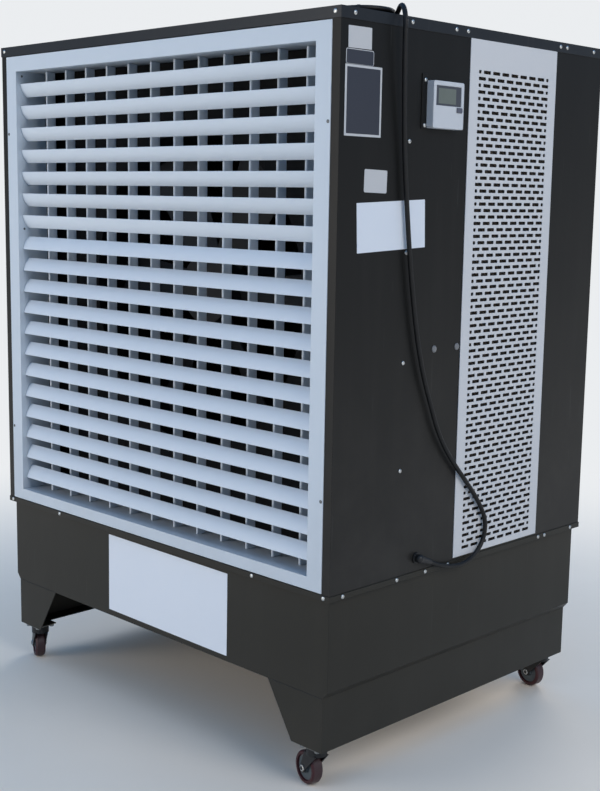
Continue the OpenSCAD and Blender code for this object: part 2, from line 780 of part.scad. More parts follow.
module fan_impeller() {
    blade_root = hub_r - 12;
    pitch_deg = 30;
    color(BLACK) translate([0, hub_y, fan_z]) rotate([90, 0, 0]) {
        cylinder(r = hub_r, h = hub_l, center = true);
        for (k = [0:fan_blades - 1]) rotate([0, 0, 360 * k / fan_blades]) rotate([pitch_deg, 0, 0])
            translate([0, 0, -2]) linear_extrude(4)
                polygon([[blade_root, -36], [fan_r, -75], [fan_r, 62], [blade_root, 30]]);
        translate([0, 0, hub_y - motor_y - shaft_in]) cylinder(r = shaft_r, h = motor_y + shaft_in - hub_y);
    }
}

module fan_motor() {
    color(ZINC) translate([0, motor_y, fan_z]) rotate([-90, 0, 0]) difference() {
        cylinder(r = motor_r, h = motor_l);
        translate([0, 0, -CUT]) cylinder(r = shaft_r + run_clear, h = shaft_in + 2 + CUT);
    }
}

module fan_shroud() {
    wall_x = pad_x;
    color(DARK) difference() {
        union() {
            translate([-wall_x, shroud_y, cab_z]) cube([2 * wall_x, sheet, cab_h - sheet]);
            translate([0, shroud_y, fan_z]) rotate([-90, 0, 0]) difference() {
                cylinder(r = duct_r + sheet, h = duct_l, $fn = 96);
                translate([0, 0, -CUT]) cylinder(r = duct_r, h = duct_l + 2 * CUT, $fn = 96);
            }
            translate([-duct_r - sheet / 2, strap_y, fan_z - strap_w / 2])
                cube([2 * duct_r + sheet, strap_t, strap_w]);
        }
        translate([0, shroud_y - CUT, fan_z]) rotate([-90, 0, 0]) cylinder(r = duct_r, h = sheet + 2 * CUT, $fn = 96);
        translate([0, strap_y - CUT, fan_z]) rotate([-90, 0, 0]) cylinder(r = shaft_r + 3, h = strap_t + 2 * CUT);
    }
}

module cooling_pads() {
    color(PAPER) translate([0, 0, cab_z]) {
        mirror_copy([1, 0, 0]) translate([pad_x - pad_t, pad_y0, 0]) cube([pad_t, pad_y1 - pad_y0, pad_h]);
        translate([-pad_rear_x, pad_y - pad_t, 0]) cube([2 * pad_rear_x, pad_t, pad_h]);
    }
}

module water_pump() {
    color(BLACK) translate([pump_x, pump_y, tank_floor]) {
        cylinder(r = pump_r, h = 30);
        cylinder(r = pump_r * 0.7, h = pump_h);
    }
}

// Pipes on top of the pads, joined by square fittings, with a riser from the pump
module water_manifold() {
    riser_z = tank_floor + pump_h;
    fitting_r = pipe_r + 3;
    seat = fitting_r - SINK;
    color(ZINC) {
        translate([0, pipe_y, pipe_z]) rotate([0, 90, 0])
            cylinder(r = pipe_r, h = 2 * (pipe_x - seat), center = true);
        mirror_copy([1, 0, 0]) {
            translate([pipe_x, pad_y0, pipe_z]) rotate([-90, 0, 0])
                cylinder(r = pipe_r, h = pipe_y - seat - pad_y0);
            translate([pipe_x, pipe_y, pipe_z]) cube(2 * fitting_r, center = true);
        }
        translate([pump_x - fitting_r, pump_y - fitting_r, pipe_z - fitting_r])
            cube([2 * fitting_r, pipe_y - pump_y + 2 * fitting_r, 2 * fitting_r]);
        translate([pump_x, pump_y, riser_z]) cylinder(r = pipe_r, h = pipe_z - seat - riser_z);
    }
}

roof_panel();
corner_panels();
inlet_panels();
grille_frame();
for (i = [0:blade_count - 1]) blade(i);
for (i = [0:vane_count - 1]) vane(i);
water_tank();
leg_skirts();
caster_plates();
for (c = [0:3]) caster_fork(c);
for (c = [0:3]) caster_wheel(c);
controller_case();
controller_screen();
controller_button();
power_cord();
cord_coil();
mains_plug();
cord_gland();
panel_screws();
fan_impeller();
fan_motor();
fan_shroud();
cooling_pads();
water_pump();
water_manifold();
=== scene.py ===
"""Looks of a mobile evaporative cooler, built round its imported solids.

The solids keep their places and get finishes. Made here are the perforated inlet sheets with
every slot, the mains lead, the bare labels and plates, the small fasteners and the studio.
Lengths are metres: +Z is up, the air outlet faces -Y, and the controller is on the +X side.
"""
import json
import math

import bpy
import numpy as np
from mathutils import Matrix, Vector


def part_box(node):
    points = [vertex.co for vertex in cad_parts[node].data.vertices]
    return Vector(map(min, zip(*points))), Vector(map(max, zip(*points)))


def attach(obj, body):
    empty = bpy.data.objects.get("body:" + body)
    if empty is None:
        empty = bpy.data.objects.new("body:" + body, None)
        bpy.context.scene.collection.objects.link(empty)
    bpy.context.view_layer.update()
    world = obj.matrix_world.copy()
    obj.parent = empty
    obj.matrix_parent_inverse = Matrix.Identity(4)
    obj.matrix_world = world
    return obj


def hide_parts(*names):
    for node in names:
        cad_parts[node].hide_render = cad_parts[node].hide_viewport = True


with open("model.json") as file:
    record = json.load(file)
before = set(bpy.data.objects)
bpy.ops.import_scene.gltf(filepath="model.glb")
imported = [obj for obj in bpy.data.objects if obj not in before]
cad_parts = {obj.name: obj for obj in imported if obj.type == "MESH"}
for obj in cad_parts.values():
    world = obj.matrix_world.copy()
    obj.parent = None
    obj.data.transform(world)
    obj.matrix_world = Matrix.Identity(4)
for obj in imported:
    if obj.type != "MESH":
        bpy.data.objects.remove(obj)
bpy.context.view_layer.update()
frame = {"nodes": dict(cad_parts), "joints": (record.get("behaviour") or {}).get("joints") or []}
solids = frame["nodes"]
AXLES = {joint["child"]: joint for joint in frame["joints"]}
CABINET = "cooler"

# Camera at the photograph's viewing angle
CAMERA_AT = Vector((2.2257, -2.1970, 1.2170))
CAMERA_TURN = math.radians(44.83)
CAMERA_DIP = math.radians(8.93)
CAMERA_ROLL = math.radians(0.94)
LENS_MM = 57.67
SENSOR_MM = 36.0

# Levels and faces, read from the solids
ROOF_LOW, ROOF_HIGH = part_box("roof_panel")
PANEL_LOW, PANEL_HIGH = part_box("corner_panels")
INLET_LOW, INLET_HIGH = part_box("inlet_panels")
SKIRT_LOW, SKIRT_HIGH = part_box("leg_skirts")
GRILLE_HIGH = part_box("grille_frame")[1]
CABINET_Z = PANEL_LOW.z
CABINET_FRONT = ROOF_LOW.y
SIDE_X = PANEL_HIGH.x

# Sizes of the solids that their boxes don't give
SHEET_T = 0.0015
TANK_SET_BACK = 0.012
TANK_FRONT = CABINET_FRONT + TANK_SET_BACK
LEG_TOP = 0.214
LEG_W = 0.160
FRAME_FACE_W = 0.041
PRONG_L = 0.019

# Casters: CHEEK_FACE is the fork's outside from the wheel's middle, TREAD_INNER_R where the tread begins
CASTER_PLATE_T = 0.003
CHEEK_FACE = 0.017
TREAD_INNER_R = 0.0265
WHEEL_R = 0.036

# Perforated inlet sheets: staggered rows of slots, cut off at the punched area's sides
INLET_W = 0.312
INLET_BEHIND_FRONT = 0.391
REAR_INLET_X = 0.030
SLOT_L = 0.025
SLOT_H = 0.007
SLOT_CORNER = 0.0012
SLOT_PITCH = 0.0326
ROW_PITCH = 0.0136
ROWS = 76
FULL_SLOTS = 8
FIRST_ROW_BELOW_TOP = 0.065

# Mains lead: from the gland, round a slack loop, up the side and over the roof's edge
CORD_D = 0.010
CORD_ROUTE = np.array([
    (0.584, -0.145, 0.452), (0.584, -0.115, 0.440), (0.584, -0.080, 0.430), (0.584, -0.040, 0.426),
    (0.584, -0.004, 0.432), (0.584, 0.025, 0.449), (0.584, 0.042, 0.472), (0.584, 0.047, 0.498),
    (0.584, 0.040, 0.524), (0.584, 0.024, 0.549), (0.584, 0.000, 0.579), (0.584, -0.030, 0.611),
    (0.584, -0.066, 0.648), (0.584, -0.102, 0.689), (0.584, -0.132, 0.734), (0.584, -0.155, 0.782),
    (0.584, -0.188, 0.862), (0.584, -0.213, 0.950), (0.584, -0.236, 1.070), (0.584, -0.254, 1.200),
    (0.584, -0.266, 1.310), (0.588, -0.276, 1.413), (0.592, -0.283, 1.514), (0.593, -0.284, 1.548),
    (0.5858, -0.2786, 1.570), (0.5706, -0.2672, 1.584), (0.5514, -0.2528, 1.586),
    (0.5274, -0.2348, 1.575), (0.5154, -0.2258, 1.5716), (0.5042, -0.2174, 1.5716)])
CORD_STEPS = 8
COIL_TURNS = 4
COIL_STEPS = 48
COIL_R = 0.062
TURN_STEP = 0.0109
LAYER_STEP = 0.0116
CLIMB = 0.5
COIL_LEAD = (CORD_ROUTE[-1] - CORD_ROUTE[-2]) / np.linalg.norm(CORD_ROUTE[-1] - CORD_ROUTE[-2])
COIL_BEARING = math.atan2(-COIL_LEAD[0], COIL_LEAD[1])
COIL_MIDDLE = CORD_ROUTE[-1] + CORD_D * COIL_LEAD + COIL_R * np.array((-COIL_LEAD[1], COIL_LEAD[0], 0))

# Strap round the coil's bundle
TIE_BEARING = math.radians(305)
TIE_T = 0.0004
TIE_HALF_W = 0.003
TIE_SLACK = 0.0006

# Labels and plates: BEHIND is from the cabinet's front, LEVEL from its underside, X and Z are the frame's
LABEL_T = 0.0004
LABEL_CORNER = 0.001
FRONT_STICKER_W = 0.4235
FRONT_STICKER_H = 0.1855
FRONT_STICKER_X = 0.0485
FRONT_STICKER_Z = 0.3198
BRACKET_T = 0.002
BRACKET_SCREW_BEHIND = 0.2475
BRACKET_SCREW_LEVELS = (1.0135, 0.925)
PLUGS_BEHIND = (0.3035, 0.379)
PLUG_LEVEL = 0.4715

# Fasteners: HEAD is a screw head's radius and rise, NUT and BOLT are width across flats and thickness
PLAIN_HEAD_RISE = 0.002
PANEL_HEAD = (0.0045, 0.0022)
FRAME_HEAD = (0.0036, 0.0012)
FRAME_SCREW_X = 0.546
FRAME_SCREW_LEVELS = (0.189, 0.921)
JAMB_HEAD = (0.0030, 0.0005)
JAMB_SCREW_BEHIND = 0.017
JAMB_SCREW_Z = (0.758, 1.126, 1.496)
BRACKET_HEAD = (0.0042, 0.002)
AXLE_NUT = (0.013, 0.0026)
PLATE_BOLT = (0.010, 0.0045)
PLATE_BOLT_OFF = 0.021
HEAD_SMOOTH = 50

# Studio
BACKDROP = (0.83, 0.85, 0.87, 1)
HORIZON = (0.78, 0.79, 0.80, 1)
ZENITH = (0.20, 0.51, 1.0, 1)
SKY_BAND = (-0.1, 0.6)
SKY_STRENGTH = 0.60
WARM = (1.0, 0.94, 0.86)
FLOOR_R = 30.0
FLOOR_SIDES = 96
FLOOR_FADE = (0.8, 2.8)


# Meshes

def mesh_piece(name, points, faces, material, body=CABINET, smooth=None):
    """A mesh object at the origin from an array of points and a list of faces, riding on a body.

    smooth is the angle in degrees below which edges are shaded round; None leaves faces flat."""
    mesh = bpy.data.meshes.new(name)
    mesh.from_pydata(np.asarray(points, float).tolist(), [], faces)
    mesh.validate()
    mesh.materials.append(material)
    piece = bpy.data.objects.new(name, mesh)
    bpy.context.scene.collection.objects.link(piece)
    if smooth is not None:
        mesh.shade_smooth()
        mesh.set_sharp_from_angle(angle=math.radians(smooth))
    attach(piece, body)
    return piece


def merged(points, faces):
    """Points that coincide become one, and the faces follow."""
    keys = np.round(np.asarray(points, float) * 1e7).astype(np.int64)
    _, first, index = np.unique(keys, axis=0, return_index=True, return_inverse=True)
    index = index.reshape(-1)
    kept = [index[np.asarray(group)].tolist() for group in faces if len(group)]
    return np.asarray(points, float)[first], sum(kept, [])


def ring_quads(count, around, closed=False):
    """Quads between neighbouring rings of around points; closed joins the last ring to the first."""
    here = np.arange(around)
    after = np.roll(here, -1)
    start = (np.arange(count if closed else count - 1) * around)[:, None]
    following = (start + around) % (count * around)
    quads = np.stack([start + here, start + after, following + after, following + here], -1)
    return quads.reshape(-1, 4).tolist()


def ring_shell(rings):
    """Closed shell through rings of equal count: quads between neighbours, a face over each end."""
    rings = np.asarray(rings, float)
    count, around = rings.shape[:2]
    faces = ring_quads(count, around)
    faces.append(list(range(around))[::-1])
    faces.append(list(range((count - 1) * around, count * around)))
    return rings.reshape(-1, 3), faces


def joined(shells):
    """Several (points, faces) pairs as one."""
    points = []
    faces = []
    start = 0
    for shell_points, shell_faces in shells:
        points.append(np.asarray(shell_points, float))
        faces.extend([[corner + start for corner in face] for face in shell_faces])
        start += len(shell_points)
    return np.concatenate(points), faces


def placed(shell, at, turn):
    """A shell with its own axes turned to the columns of turn, then moved to at."""
    points, faces = shell
    return points @ np.asarray(turn, float).T + np.asarray(at, float), faces


# Columns are where a shell's own x, y and z go: its z points out of the named face
OUT_RIGHT = np.array([(0, 0, 1), (1, 0, 0), (0, 1, 0)], float)
OUT_LEFT = np.array([(0, 0, -1), (-1, 0, 0), (0, 1, 0)], float)
OUT_FRONT = np.array([(1, 0, 0), (0, 0, -1), (0, 1, 0)], float)
OUT_REAR = np.array([(-1, 0, 0), (0, 0, 1), (0, 1, 0)], float)
OUT_DOWN = np.array([(1, 0, 0), (0, -1, 0), (0, 0, -1)], float)


def round_outline(width, height, corner, steps=5):
    """Outline of a rectangle about the origin whose corners are quarter circles."""
    turn = np.linspace(0, math.pi / 2, steps)
    quarter = np.stack([np.cos(turn), np.sin(turn)], -1) * corner
    reach = np.array([width / 2 - corner, height / 2 - corner])
    signs = [(1, 1), (-1, 1), (-1, -1), (1, -1)]
    parts = []
    for k, sign in enumerate(signs):
        spin = k * math.pi / 2
        turned = quarter @ np.array([(math.cos(spin), math.sin(spin)), (-math.sin(spin), math.cos(spin))])
        parts.append(turned + reach * np.array(sign))
    return np.concatenate(parts)


def plate_shell(width, height, thick, corner, edge):
    """A thin plate: an outline at its foot, one at the shoulder, one half round and one drawn in on top."""
    half_round = edge * 0.3
    levels = [(0, 0), (0, thick - edge), (half_round, thick - half_round), (edge, thick)]
    rings = []
    for inset, level in levels:
        ring = round_outline(width - 2 * inset, height - 2 * inset, corner - inset / 2)
        rings.append(np.column_stack([ring, np.full(len(ring), level)]))
    return ring_shell(rings)


def turned_shell(profile, around=24):
    """A shell of revolution about z from (radius, level) pairs."""
    turn = np.linspace(0, math.tau, around, endpoint=False)
    circle = np.stack([np.cos(turn), np.sin(turn)], -1)
    rings = []
    for radius, level in profile:
        rings.append(np.column_stack([circle * radius, np.full(around, level)]))
    return ring_shell(rings)


def hex_nut(across, thick):
    """A hexagon with a bevelled outer face, standing on its inner face."""
    radius = across / math.sqrt(3)
    shoulder = thick * 0.8
    bevelled = radius * 0.86
    return turned_shell([(radius, 0), (radius, shoulder), (bevelled, thick)], around=6)


# Shader trees

class Shades:
    """Short calls for one node tree."""

    def __init__(self, tree):
        """Keeps the tree that the calls add to."""
        self.tree = tree

    def add(self, kind, inputs=None, **settings):
        """Places a node, applies its settings, then wires or sets its inputs."""
        made = self.tree.nodes.new("ShaderNode" + kind)
        for key, value in settings.items():
            setattr(made, key, value)
        for key, value in (inputs or {}).items():
            self.feed(value, made.inputs[key])
        return made

    def feed(self, value, socket):
        """Links an output to a socket, or sets the socket to a plain value."""
        if isinstance(value, bpy.types.NodeSocket):
            self.tree.links.new(value, socket)
        else:
            socket.default_value = value

    def sum(self, kind, a, b=0.0):
        """One arithmetic step, such as ADD, MULTIPLY or POWER."""
        return self.add("Math", {0: a, 1: b}, operation=kind).outputs[0]

    def mix(self, share, a, b):
        """A blend of two colours: share is how much of the second."""
        return self.add("Mix", {0: share, 6: a, 7: b}, data_type="RGBA").outputs[2]

    def tint(self, share, a, b):
        """One colour multiplied by another, by share."""
        return self.add("Mix", {0: share, 6: a, 7: b}, data_type="RGBA", blend_type="MULTIPLY").outputs[2]

    def ramp(self, value, low, high, to_low=0.0, to_high=1.0):
        """A smooth step of value between low and high."""
        values = {0: value, 1: low, 2: high, 3: to_low, 4: to_high}
        return self.add("MapRange", values, interpolation_type="SMOOTHSTEP").outputs[0]

    def noise(self, at, scale, detail=3.0, roughness=0.55):
        """Soft noise from 0 to 1."""
        values = {"Vector": at, "Scale": scale, "Detail": detail, "Roughness": roughness}
        return self.add("TexNoise", values).outputs["Fac"]


def shader_group(name, inputs, outputs):
    """An empty node group with named sockets: returns its tree, its Shades and both end nodes."""
    tree = bpy.data.node_groups.new(name, "ShaderNodeTree")
    for kind, label in inputs:
        tree.interface.new_socket(label, in_out="INPUT", socket_type="NodeSocket" + kind)
    for kind, label in outputs:
        tree.interface.new_socket(label, in_out="OUTPUT", socket_type="NodeSocket" + kind)
    shades = Shades(tree)
    start = tree.nodes.new("NodeGroupInput")
    end = tree.nodes.new("NodeGroupOutput")
    return tree, shades, start.outputs, end.inputs


def make_coat_group():
    """Sprayed paint: a slow change of shade, fine grain, orange peel and uneven gloss."""
    tree, s, given, put = shader_group(
        "sprayed_coat",
        [("Vector", "Place"), ("Color", "Paint"), ("Float", "Shade change"), ("Float", "Peel scale")],
        [("Color", "Colour"), ("Float", "Gloss change"), ("Float", "Peel")])
    slow = s.noise(given["Place"], 2.3, 2.0)
    grain = s.noise(given["Place"], 140.0, 2.0)
    both = s.sum("ADD", s.sum("MULTIPLY", slow, 0.8), s.sum("MULTIPLY", grain, 0.2))
    change = s.sum("MULTIPLY", s.sum("SUBTRACT", both, 0.5), given["Shade change"])
    bright = s.add("HueSaturation", {"Color": given["Paint"], "Value": s.sum("ADD", change, 1.0)})
    s.feed(bright.outputs[0], put["Colour"])
    s.feed(s.ramp(s.noise(given["Place"], 5.0, 4.0), 0.3, 0.7), put["Gloss change"])
    s.feed(s.noise(given["Place"], given["Peel scale"], 1.5), put["Peel"])
    return tree


def make_dust_and_light_group():
    """A tint that thickens towards a low level and gathers in soft patches.

    Near the floor it is dust; set higher, it is painted floor bounce on the side panels and painted shade
    on the outlet frame.
    """
    tree, s, given, put = shader_group(
        "low_dust_and_light",
        [("Vector", "Place"), ("Float", "Level"), ("Float", "Reach")],
        [("Float", "Mask")])
    height = s.add("SeparateXYZ", {0: given["Place"]}).outputs["Z"]
    above = s.sum("DIVIDE", s.sum("SUBTRACT", height, given["Level"]), given["Reach"])
    fall = s.ramp(above, 0.0, 1.0, 1.0, 0.0)
    patches = s.ramp(s.noise(given["Place"], 9.0, 5.0, 0.65), 0.30, 0.75, 0.45, 1.0)
    s.feed(s.sum("MULTIPLY", fall, patches), put["Mask"])
    return tree


def make_streak_group():
    """Faint upright streaks that water and wiping leave, and sparse fine scratches."""
    tree, s, given, put = shader_group(
        "wiped_streaks",
        [("Vector", "Place"), ("Float", "Fineness")],
        [("Float", "Streak"), ("Float", "Scratch")])
    tall = s.add("VectorMath", {0: given["Place"], 1: (1.0, 1.0, 0.06)}, operation="MULTIPLY").outputs[0]
    s.feed(s.ramp(s.noise(tall, given["Fineness"], 3.0), 0.45, 0.75), put["Streak"])
    along = {"Vector": given["Place"], "Rotation": (0.5, 0.3, 0.7), "Scale": (160, 160, 6)}
    tilted = s.add("Mapping", along)
    thin = s.noise(tilted.outputs[0], 1.0, 1.0)
    s.feed(s.ramp(thin, 0.73, 0.78), put["Scratch"])
    return tree


COAT = make_coat_group()
DUST_AND_LIGHT = make_dust_and_light_group()
STREAKS = make_streak_group()
# Warm grey of dust and wiping streaks; low on the side panels it is painted floor bounce, low on the outlet
# frame painted shade
DUST_AND_LIGHT_COLOUR = (0.21, 0.19, 0.165, 1)


def new_finish(name, roughness, metallic=0.0, specular=0.5):
    """A node material: returns it with its Shades, its Principled shader and its object coordinates."""
    material = bpy.data.materials.new(name)
    material.use_nodes = True
    s = Shades(material.node_tree)
    shader = material.node_tree.nodes["Principled BSDF"]
    shader.inputs["Roughness"].default_value = roughness
    shader.inputs["Metallic"].default_value = metallic
    shader.inputs["Specular IOR Level"].default_value = specular
    at = s.add("TexCoord").outputs["Object"]
    return material, s, shader, at


def bumped(s, shader, height, depth, fold=0.0):
    """Relief from a height, on top of edges shaded as if folded to a radius."""
    values = {"Height": height, "Distance": depth}
    if fold:
        values["Normal"] = s.add("Bevel", {"Radius": fold}, samples=4).outputs[0]
    s.feed(s.add("Bump", values).outputs[0], shader.inputs["Normal"])


def coated(name, paint, roughness, specular, shade=0.10, dust_and_light=(0.09, 0.25, 0.05), fold=0.0012):
    """Powder-coated sheet: sprayed coat, upright streaks, sparse scratches and a low warm tint.

    The low tint is given as the level it starts from, how far up it reaches and its share. Near the floor
    it is dust;
    the side panels' tint, set higher, is painted floor bounce, and the outlet frame's is painted shade."""
    peel = 420.0
    peel_depth = 0.00004
    fineness = 26.0
    streak_share = 0.012
    scratch_share = 0.03
    scratch_grey = (0.35, 0.35, 0.34, 1)
    gloss_spread = 0.06
    dust_dulling = 0.5
    level, reach, dust_and_light_share = dust_and_light
    material, s, shader, at = new_finish(name, roughness, specular=specular)
    coat = s.add("Group", node_tree=COAT)
    given = {"Place": at, "Paint": (*paint, 1), "Shade change": shade, "Peel scale": peel}
    for key, value in given.items():
        s.feed(value, coat.inputs[key])
    streaks = s.add("Group", node_tree=STREAKS)
    s.feed(at, streaks.inputs["Place"])
    s.feed(fineness, streaks.inputs["Fineness"])
    dust_and_light_node = s.add("Group", node_tree=DUST_AND_LIGHT)
    for key, value in (("Place", at), ("Level", level), ("Reach", reach)):
        s.feed(value, dust_and_light_node.inputs[key])
    streak = s.sum("MULTIPLY", streaks.outputs["Streak"], streak_share)
    faded = s.mix(streak, coat.outputs["Colour"], DUST_AND_LIGHT_COLOUR)
    scratch = s.sum("MULTIPLY", streaks.outputs["Scratch"], scratch_share)
    scratched = s.mix(scratch, faded, scratch_grey)
    # The low tint: dust near the floor, painted floor bounce on the side panels, painted shade at the
    # outlet frame's foot
    cover = s.sum("MULTIPLY", dust_and_light_node.outputs["Mask"], dust_and_light_share)
    s.feed(s.mix(cover, scratched, DUST_AND_LIGHT_COLOUR), shader.inputs["Base Color"])
    uneven = s.sum("MULTIPLY", coat.outputs["Gloss change"], gloss_spread)
    duller = s.sum("MULTIPLY", cover, dust_dulling)
    rough = s.sum("ADD", s.sum("ADD", uneven, duller), roughness - gloss_spread / 2)
    s.feed(rough, shader.inputs["Roughness"])
    bumped(s, shader, coat.outputs["Peel"], peel_depth, fold)
    return material


def moulded(name, colour, roughness, grain_depth=0.00008, specular=0.4, shade=0.10, fold=0.0015):
    """Moulded plastic: fine spark texture and a slight change of shade."""
    grain = 900.0
    gloss_spread = 0.12
    material, s, shader, at = new_finish(name, roughness, specular=specular)
    coat = s.add("Group", node_tree=COAT)
    given = {"Place": at, "Paint": (*colour, 1), "Shade change": shade, "Peel scale": grain}
    for key, value in given.items():
        s.feed(value, coat.inputs[key])
    s.feed(coat.outputs["Colour"], shader.inputs["Base Color"])
    uneven = s.sum("MULTIPLY", coat.outputs["Gloss change"], gloss_spread)
    s.feed(s.sum("ADD", uneven, roughness - gloss_spread / 2), shader.inputs["Roughness"])
    bumped(s, shader, coat.outputs["Peel"], grain_depth, fold)
    return material


def plated(name, colour, roughness):
    """Zinc plate: bright metal with a spangle of duller patches."""
    spangle_scale = 700.0
    dull_share = 0.72
    gloss_spread = 0.18
    polish = 0.06
    material, s, shader, at = new_finish(name, roughness, metallic=1.0)
    spangle = s.add("TexVoronoi", {"Vector": at, "Scale": spangle_scale}).outputs["Color"]
    grey = s.add("RGBToBW", {0: spangle}).outputs[0]
    dull = tuple(dull_share * c for c in colour)
    s.feed(s.mix(s.ramp(grey, 0.2, 0.8), (*dull, 1), (*colour, 1)), shader.inputs["Base Color"])
    uneven = s.sum("MULTIPLY", grey, gloss_spread)
    s.feed(s.sum("ADD", uneven, roughness - polish), shader.inputs["Roughness"])
    return material


def rubbery(name, colour):
    """Cord rubber: matt black with a dusty bloom and a fine grain."""
    bloom_share = 0.5
    grain_depth = 0.00006
    material, s, shader, at = new_finish(name, 0.55, specular=0.3)
    bloom = s.ramp(s.noise(at, 60.0, 4.0), 0.4, 0.8)
    grey = tuple(c * 2.2 + 0.01 for c in colour)
    cover = s.sum("MULTIPLY", bloom, bloom_share)
    s.feed(s.mix(cover, (*colour, 1), (*grey, 1)), shader.inputs["Base Color"])
    s.feed(s.ramp(bloom, 0.0, 1.0, 0.48, 0.68), shader.inputs["Roughness"])
    bumped(s, shader, s.noise(at, 1500.0, 2.0), grain_depth)
    return material


CHARCOAL = (0.0088, 0.0088, 0.0086)
# Roof: lighter and bluer than the cabinet's own charcoal, as painted sky light on the face turned up
SKY_LIT_ROOF_CHARCOAL = (0.0130, 0.0158, 0.0198)
# Tank and legs: lighter and warmer than the cabinet's own charcoal, as painted warm floor bounce low down
FLOOR_LIT_TANK_CHARCOAL = (0.0255, 0.0235, 0.0185)
PALE_WHITE = (0.625, 0.622, 0.628)
# Outlet frame and blades: bluer copies of the inlet sheets' white, as painted blue sky light
SKY_LIT_FRAME_WHITE = (0.590, 0.645, 0.700)
SKY_LIT_BLADE_WHITE = (0.630, 0.685, 0.745)
# The side panels' low tint fades out 0.6 m above their foot: painted warm floor bounce, lighter and warmer
# low down
charcoal_sheet = coated("charcoal_sheet", CHARCOAL, 0.36, 0.17, dust_and_light=(0.42, 0.60, 0.095))
charcoal_roof = coated("charcoal_roof", SKY_LIT_ROOF_CHARCOAL, 0.36, 0.27)
charcoal_tank = coated("charcoal_tank", FLOOR_LIT_TANK_CHARCOAL, 0.42, 0.18)
white_sheet = coated("white_sheet", PALE_WHITE, 0.45, 0.35, shade=0.05, dust_and_light=(0.44, 0.30, 0.03))
# The outlet frame's low tint has five times the other whites' share: a little dust, and painted shade below
# the blades
frame_white = coated("frame_white", SKY_LIT_FRAME_WHITE, 0.45, 0.35, shade=0.05, dust_and_light=(0.44, 0.30, 0.15))
white_blade = coated("white_blade", SKY_LIT_BLADE_WHITE, 0.42, 0.35,
                     shade=0.04, dust_and_light=(0.44, 0.30, 0.03), fold=0.0)
zinc_plate = plated("zinc_plate", (0.66, 0.67, 0.66), 0.32)
black_steel = coated("black_steel", (0.010, 0.010, 0.011), 0.42, 0.35, dust_and_light=(0.0, 0.08, 0.10))
case_plastic = moulded("case_plastic", (0.575, 0.590, 0.615), 0.45, shade=0.04, fold=0.003)
button_plastic = moulded("button_plastic", (0.10, 0.105, 0.14), 0.42)
black_plastic = moulded("black_plastic", (0.010, 0.010, 0.011), 0.50)
pipe_plastic = moulded("pipe_plastic", (0.28, 0.30, 0.32), 0.40)
plug_grey = moulded("plug_grey", (0.18, 0.18, 0.185), 0.40)
label_white = moulded("label_white", (0.540, 0.540, 0.545), 0.38,
                      grain_depth=0.00002, shade=0.03, fold=0.0)
sticker_white = moulded("sticker_white", (0.715, 0.750, 0.805), 0.36,
                        grain_depth=0.00002, shade=0.03, fold=0.0)
label_dark = moulded("label_dark", (0.030, 0.034, 0.048), 0.34,
                     grain_depth=0.00002, shade=0.08, fold=0.0)
shroud_black = coated("shroud_black", (0.0021, 0.0027, 0.0038), 0.55, 0.15)
motor_enamel = coated("motor_enamel", (0.07, 0.075, 0.08), 0.45, 0.4)
cord_rubber = rubbery("cord_rubber", (0.0045, 0.0045, 0.0048))
# Zinc darkened to under half its brightness for the caster plates and their bolts under the tank: painted
# shade
shaded_zinc = plated("shaded_zinc", (0.30, 0.31, 0.31), 0.42)
screw_black = plated("screw_black", (0.16, 0.17, 0.18), 0.40)


def inside(s, value, low, high, soft):
    """1 where value lies between low and high, with soft limits."""
    rising = s.ramp(value, low - soft, low + soft)
    return s.sum("MULTIPLY", rising, s.ramp(value, high - soft, high + soft, 1.0, 0.0))


def screen_glass(low, high):
    """A dark glass window with a grey-green display behind it, nearer to the window's left side."""
    material, s, shader, at = new_finish("screen_glass", 0.16, specular=0.5)
    split = s.add("SeparateXYZ", {0: at}).outputs
    wide = high.y - low.y
    tall = high.z - low.z
    soft = 0.0006
    left = low.y + 0.10 * wide
    right = high.y - 0.20 * wide
    foot = low.z + 0.10 * tall
    head = high.z - 0.12 * tall
    across = inside(s, split["Y"], left, right, soft)
    upright = inside(s, split["Z"], foot, head, soft)
    cloud = s.noise(at, 30.0, 2.0)
    display = s.mix(cloud, (0.125, 0.145, 0.125, 1), (0.15, 0.17, 0.15, 1))
    dark_glass = (0.055, 0.06, 0.075, 1)
    shown = s.mix(s.sum("MULTIPLY", across, upright), dark_glass, display)
    s.feed(shown, shader.inputs["Base Color"])
    s.feed(s.ramp(cloud, 0.3, 0.7, 0.12, 0.2), shader.inputs["Roughness"])
    return material


def pad_paper():
    """Wet-pad paper: slanted flutes of brown cellulose with paler edges, darkened to near black as painted
    shade inside the cabinet, and darker bands as painted shade in the gaps between flutes.
    """
    material, s, shader, at = new_finish("pad_paper", 0.85, specular=0.2)
    waves = s.add("TexWave", {"Vector": at, "Scale": 45.0, "Distortion": 1.5, "Detail": 2.0},
                  wave_type="BANDS", bands_direction="DIAGONAL").outputs["Fac"]
    fibre = s.sum("MULTIPLY", s.noise(at, 350.0, 4.0), 0.5)
    fibre_brown = (0.5, 0.45, 0.4, 1)
    flute_depth = 0.004
    # Both browns are near black, painted shade of the cabinet's inside; the darker bands are painted shade
    # between the flutes
    shaded_brown = s.mix(waves, (0.006, 0.005, 0.004, 1), (0.042, 0.030, 0.021, 1))
    s.feed(s.tint(fibre, shaded_brown, fibre_brown), shader.inputs["Base Color"])
    bumped(s, shader, waves, flute_depth)
    return material


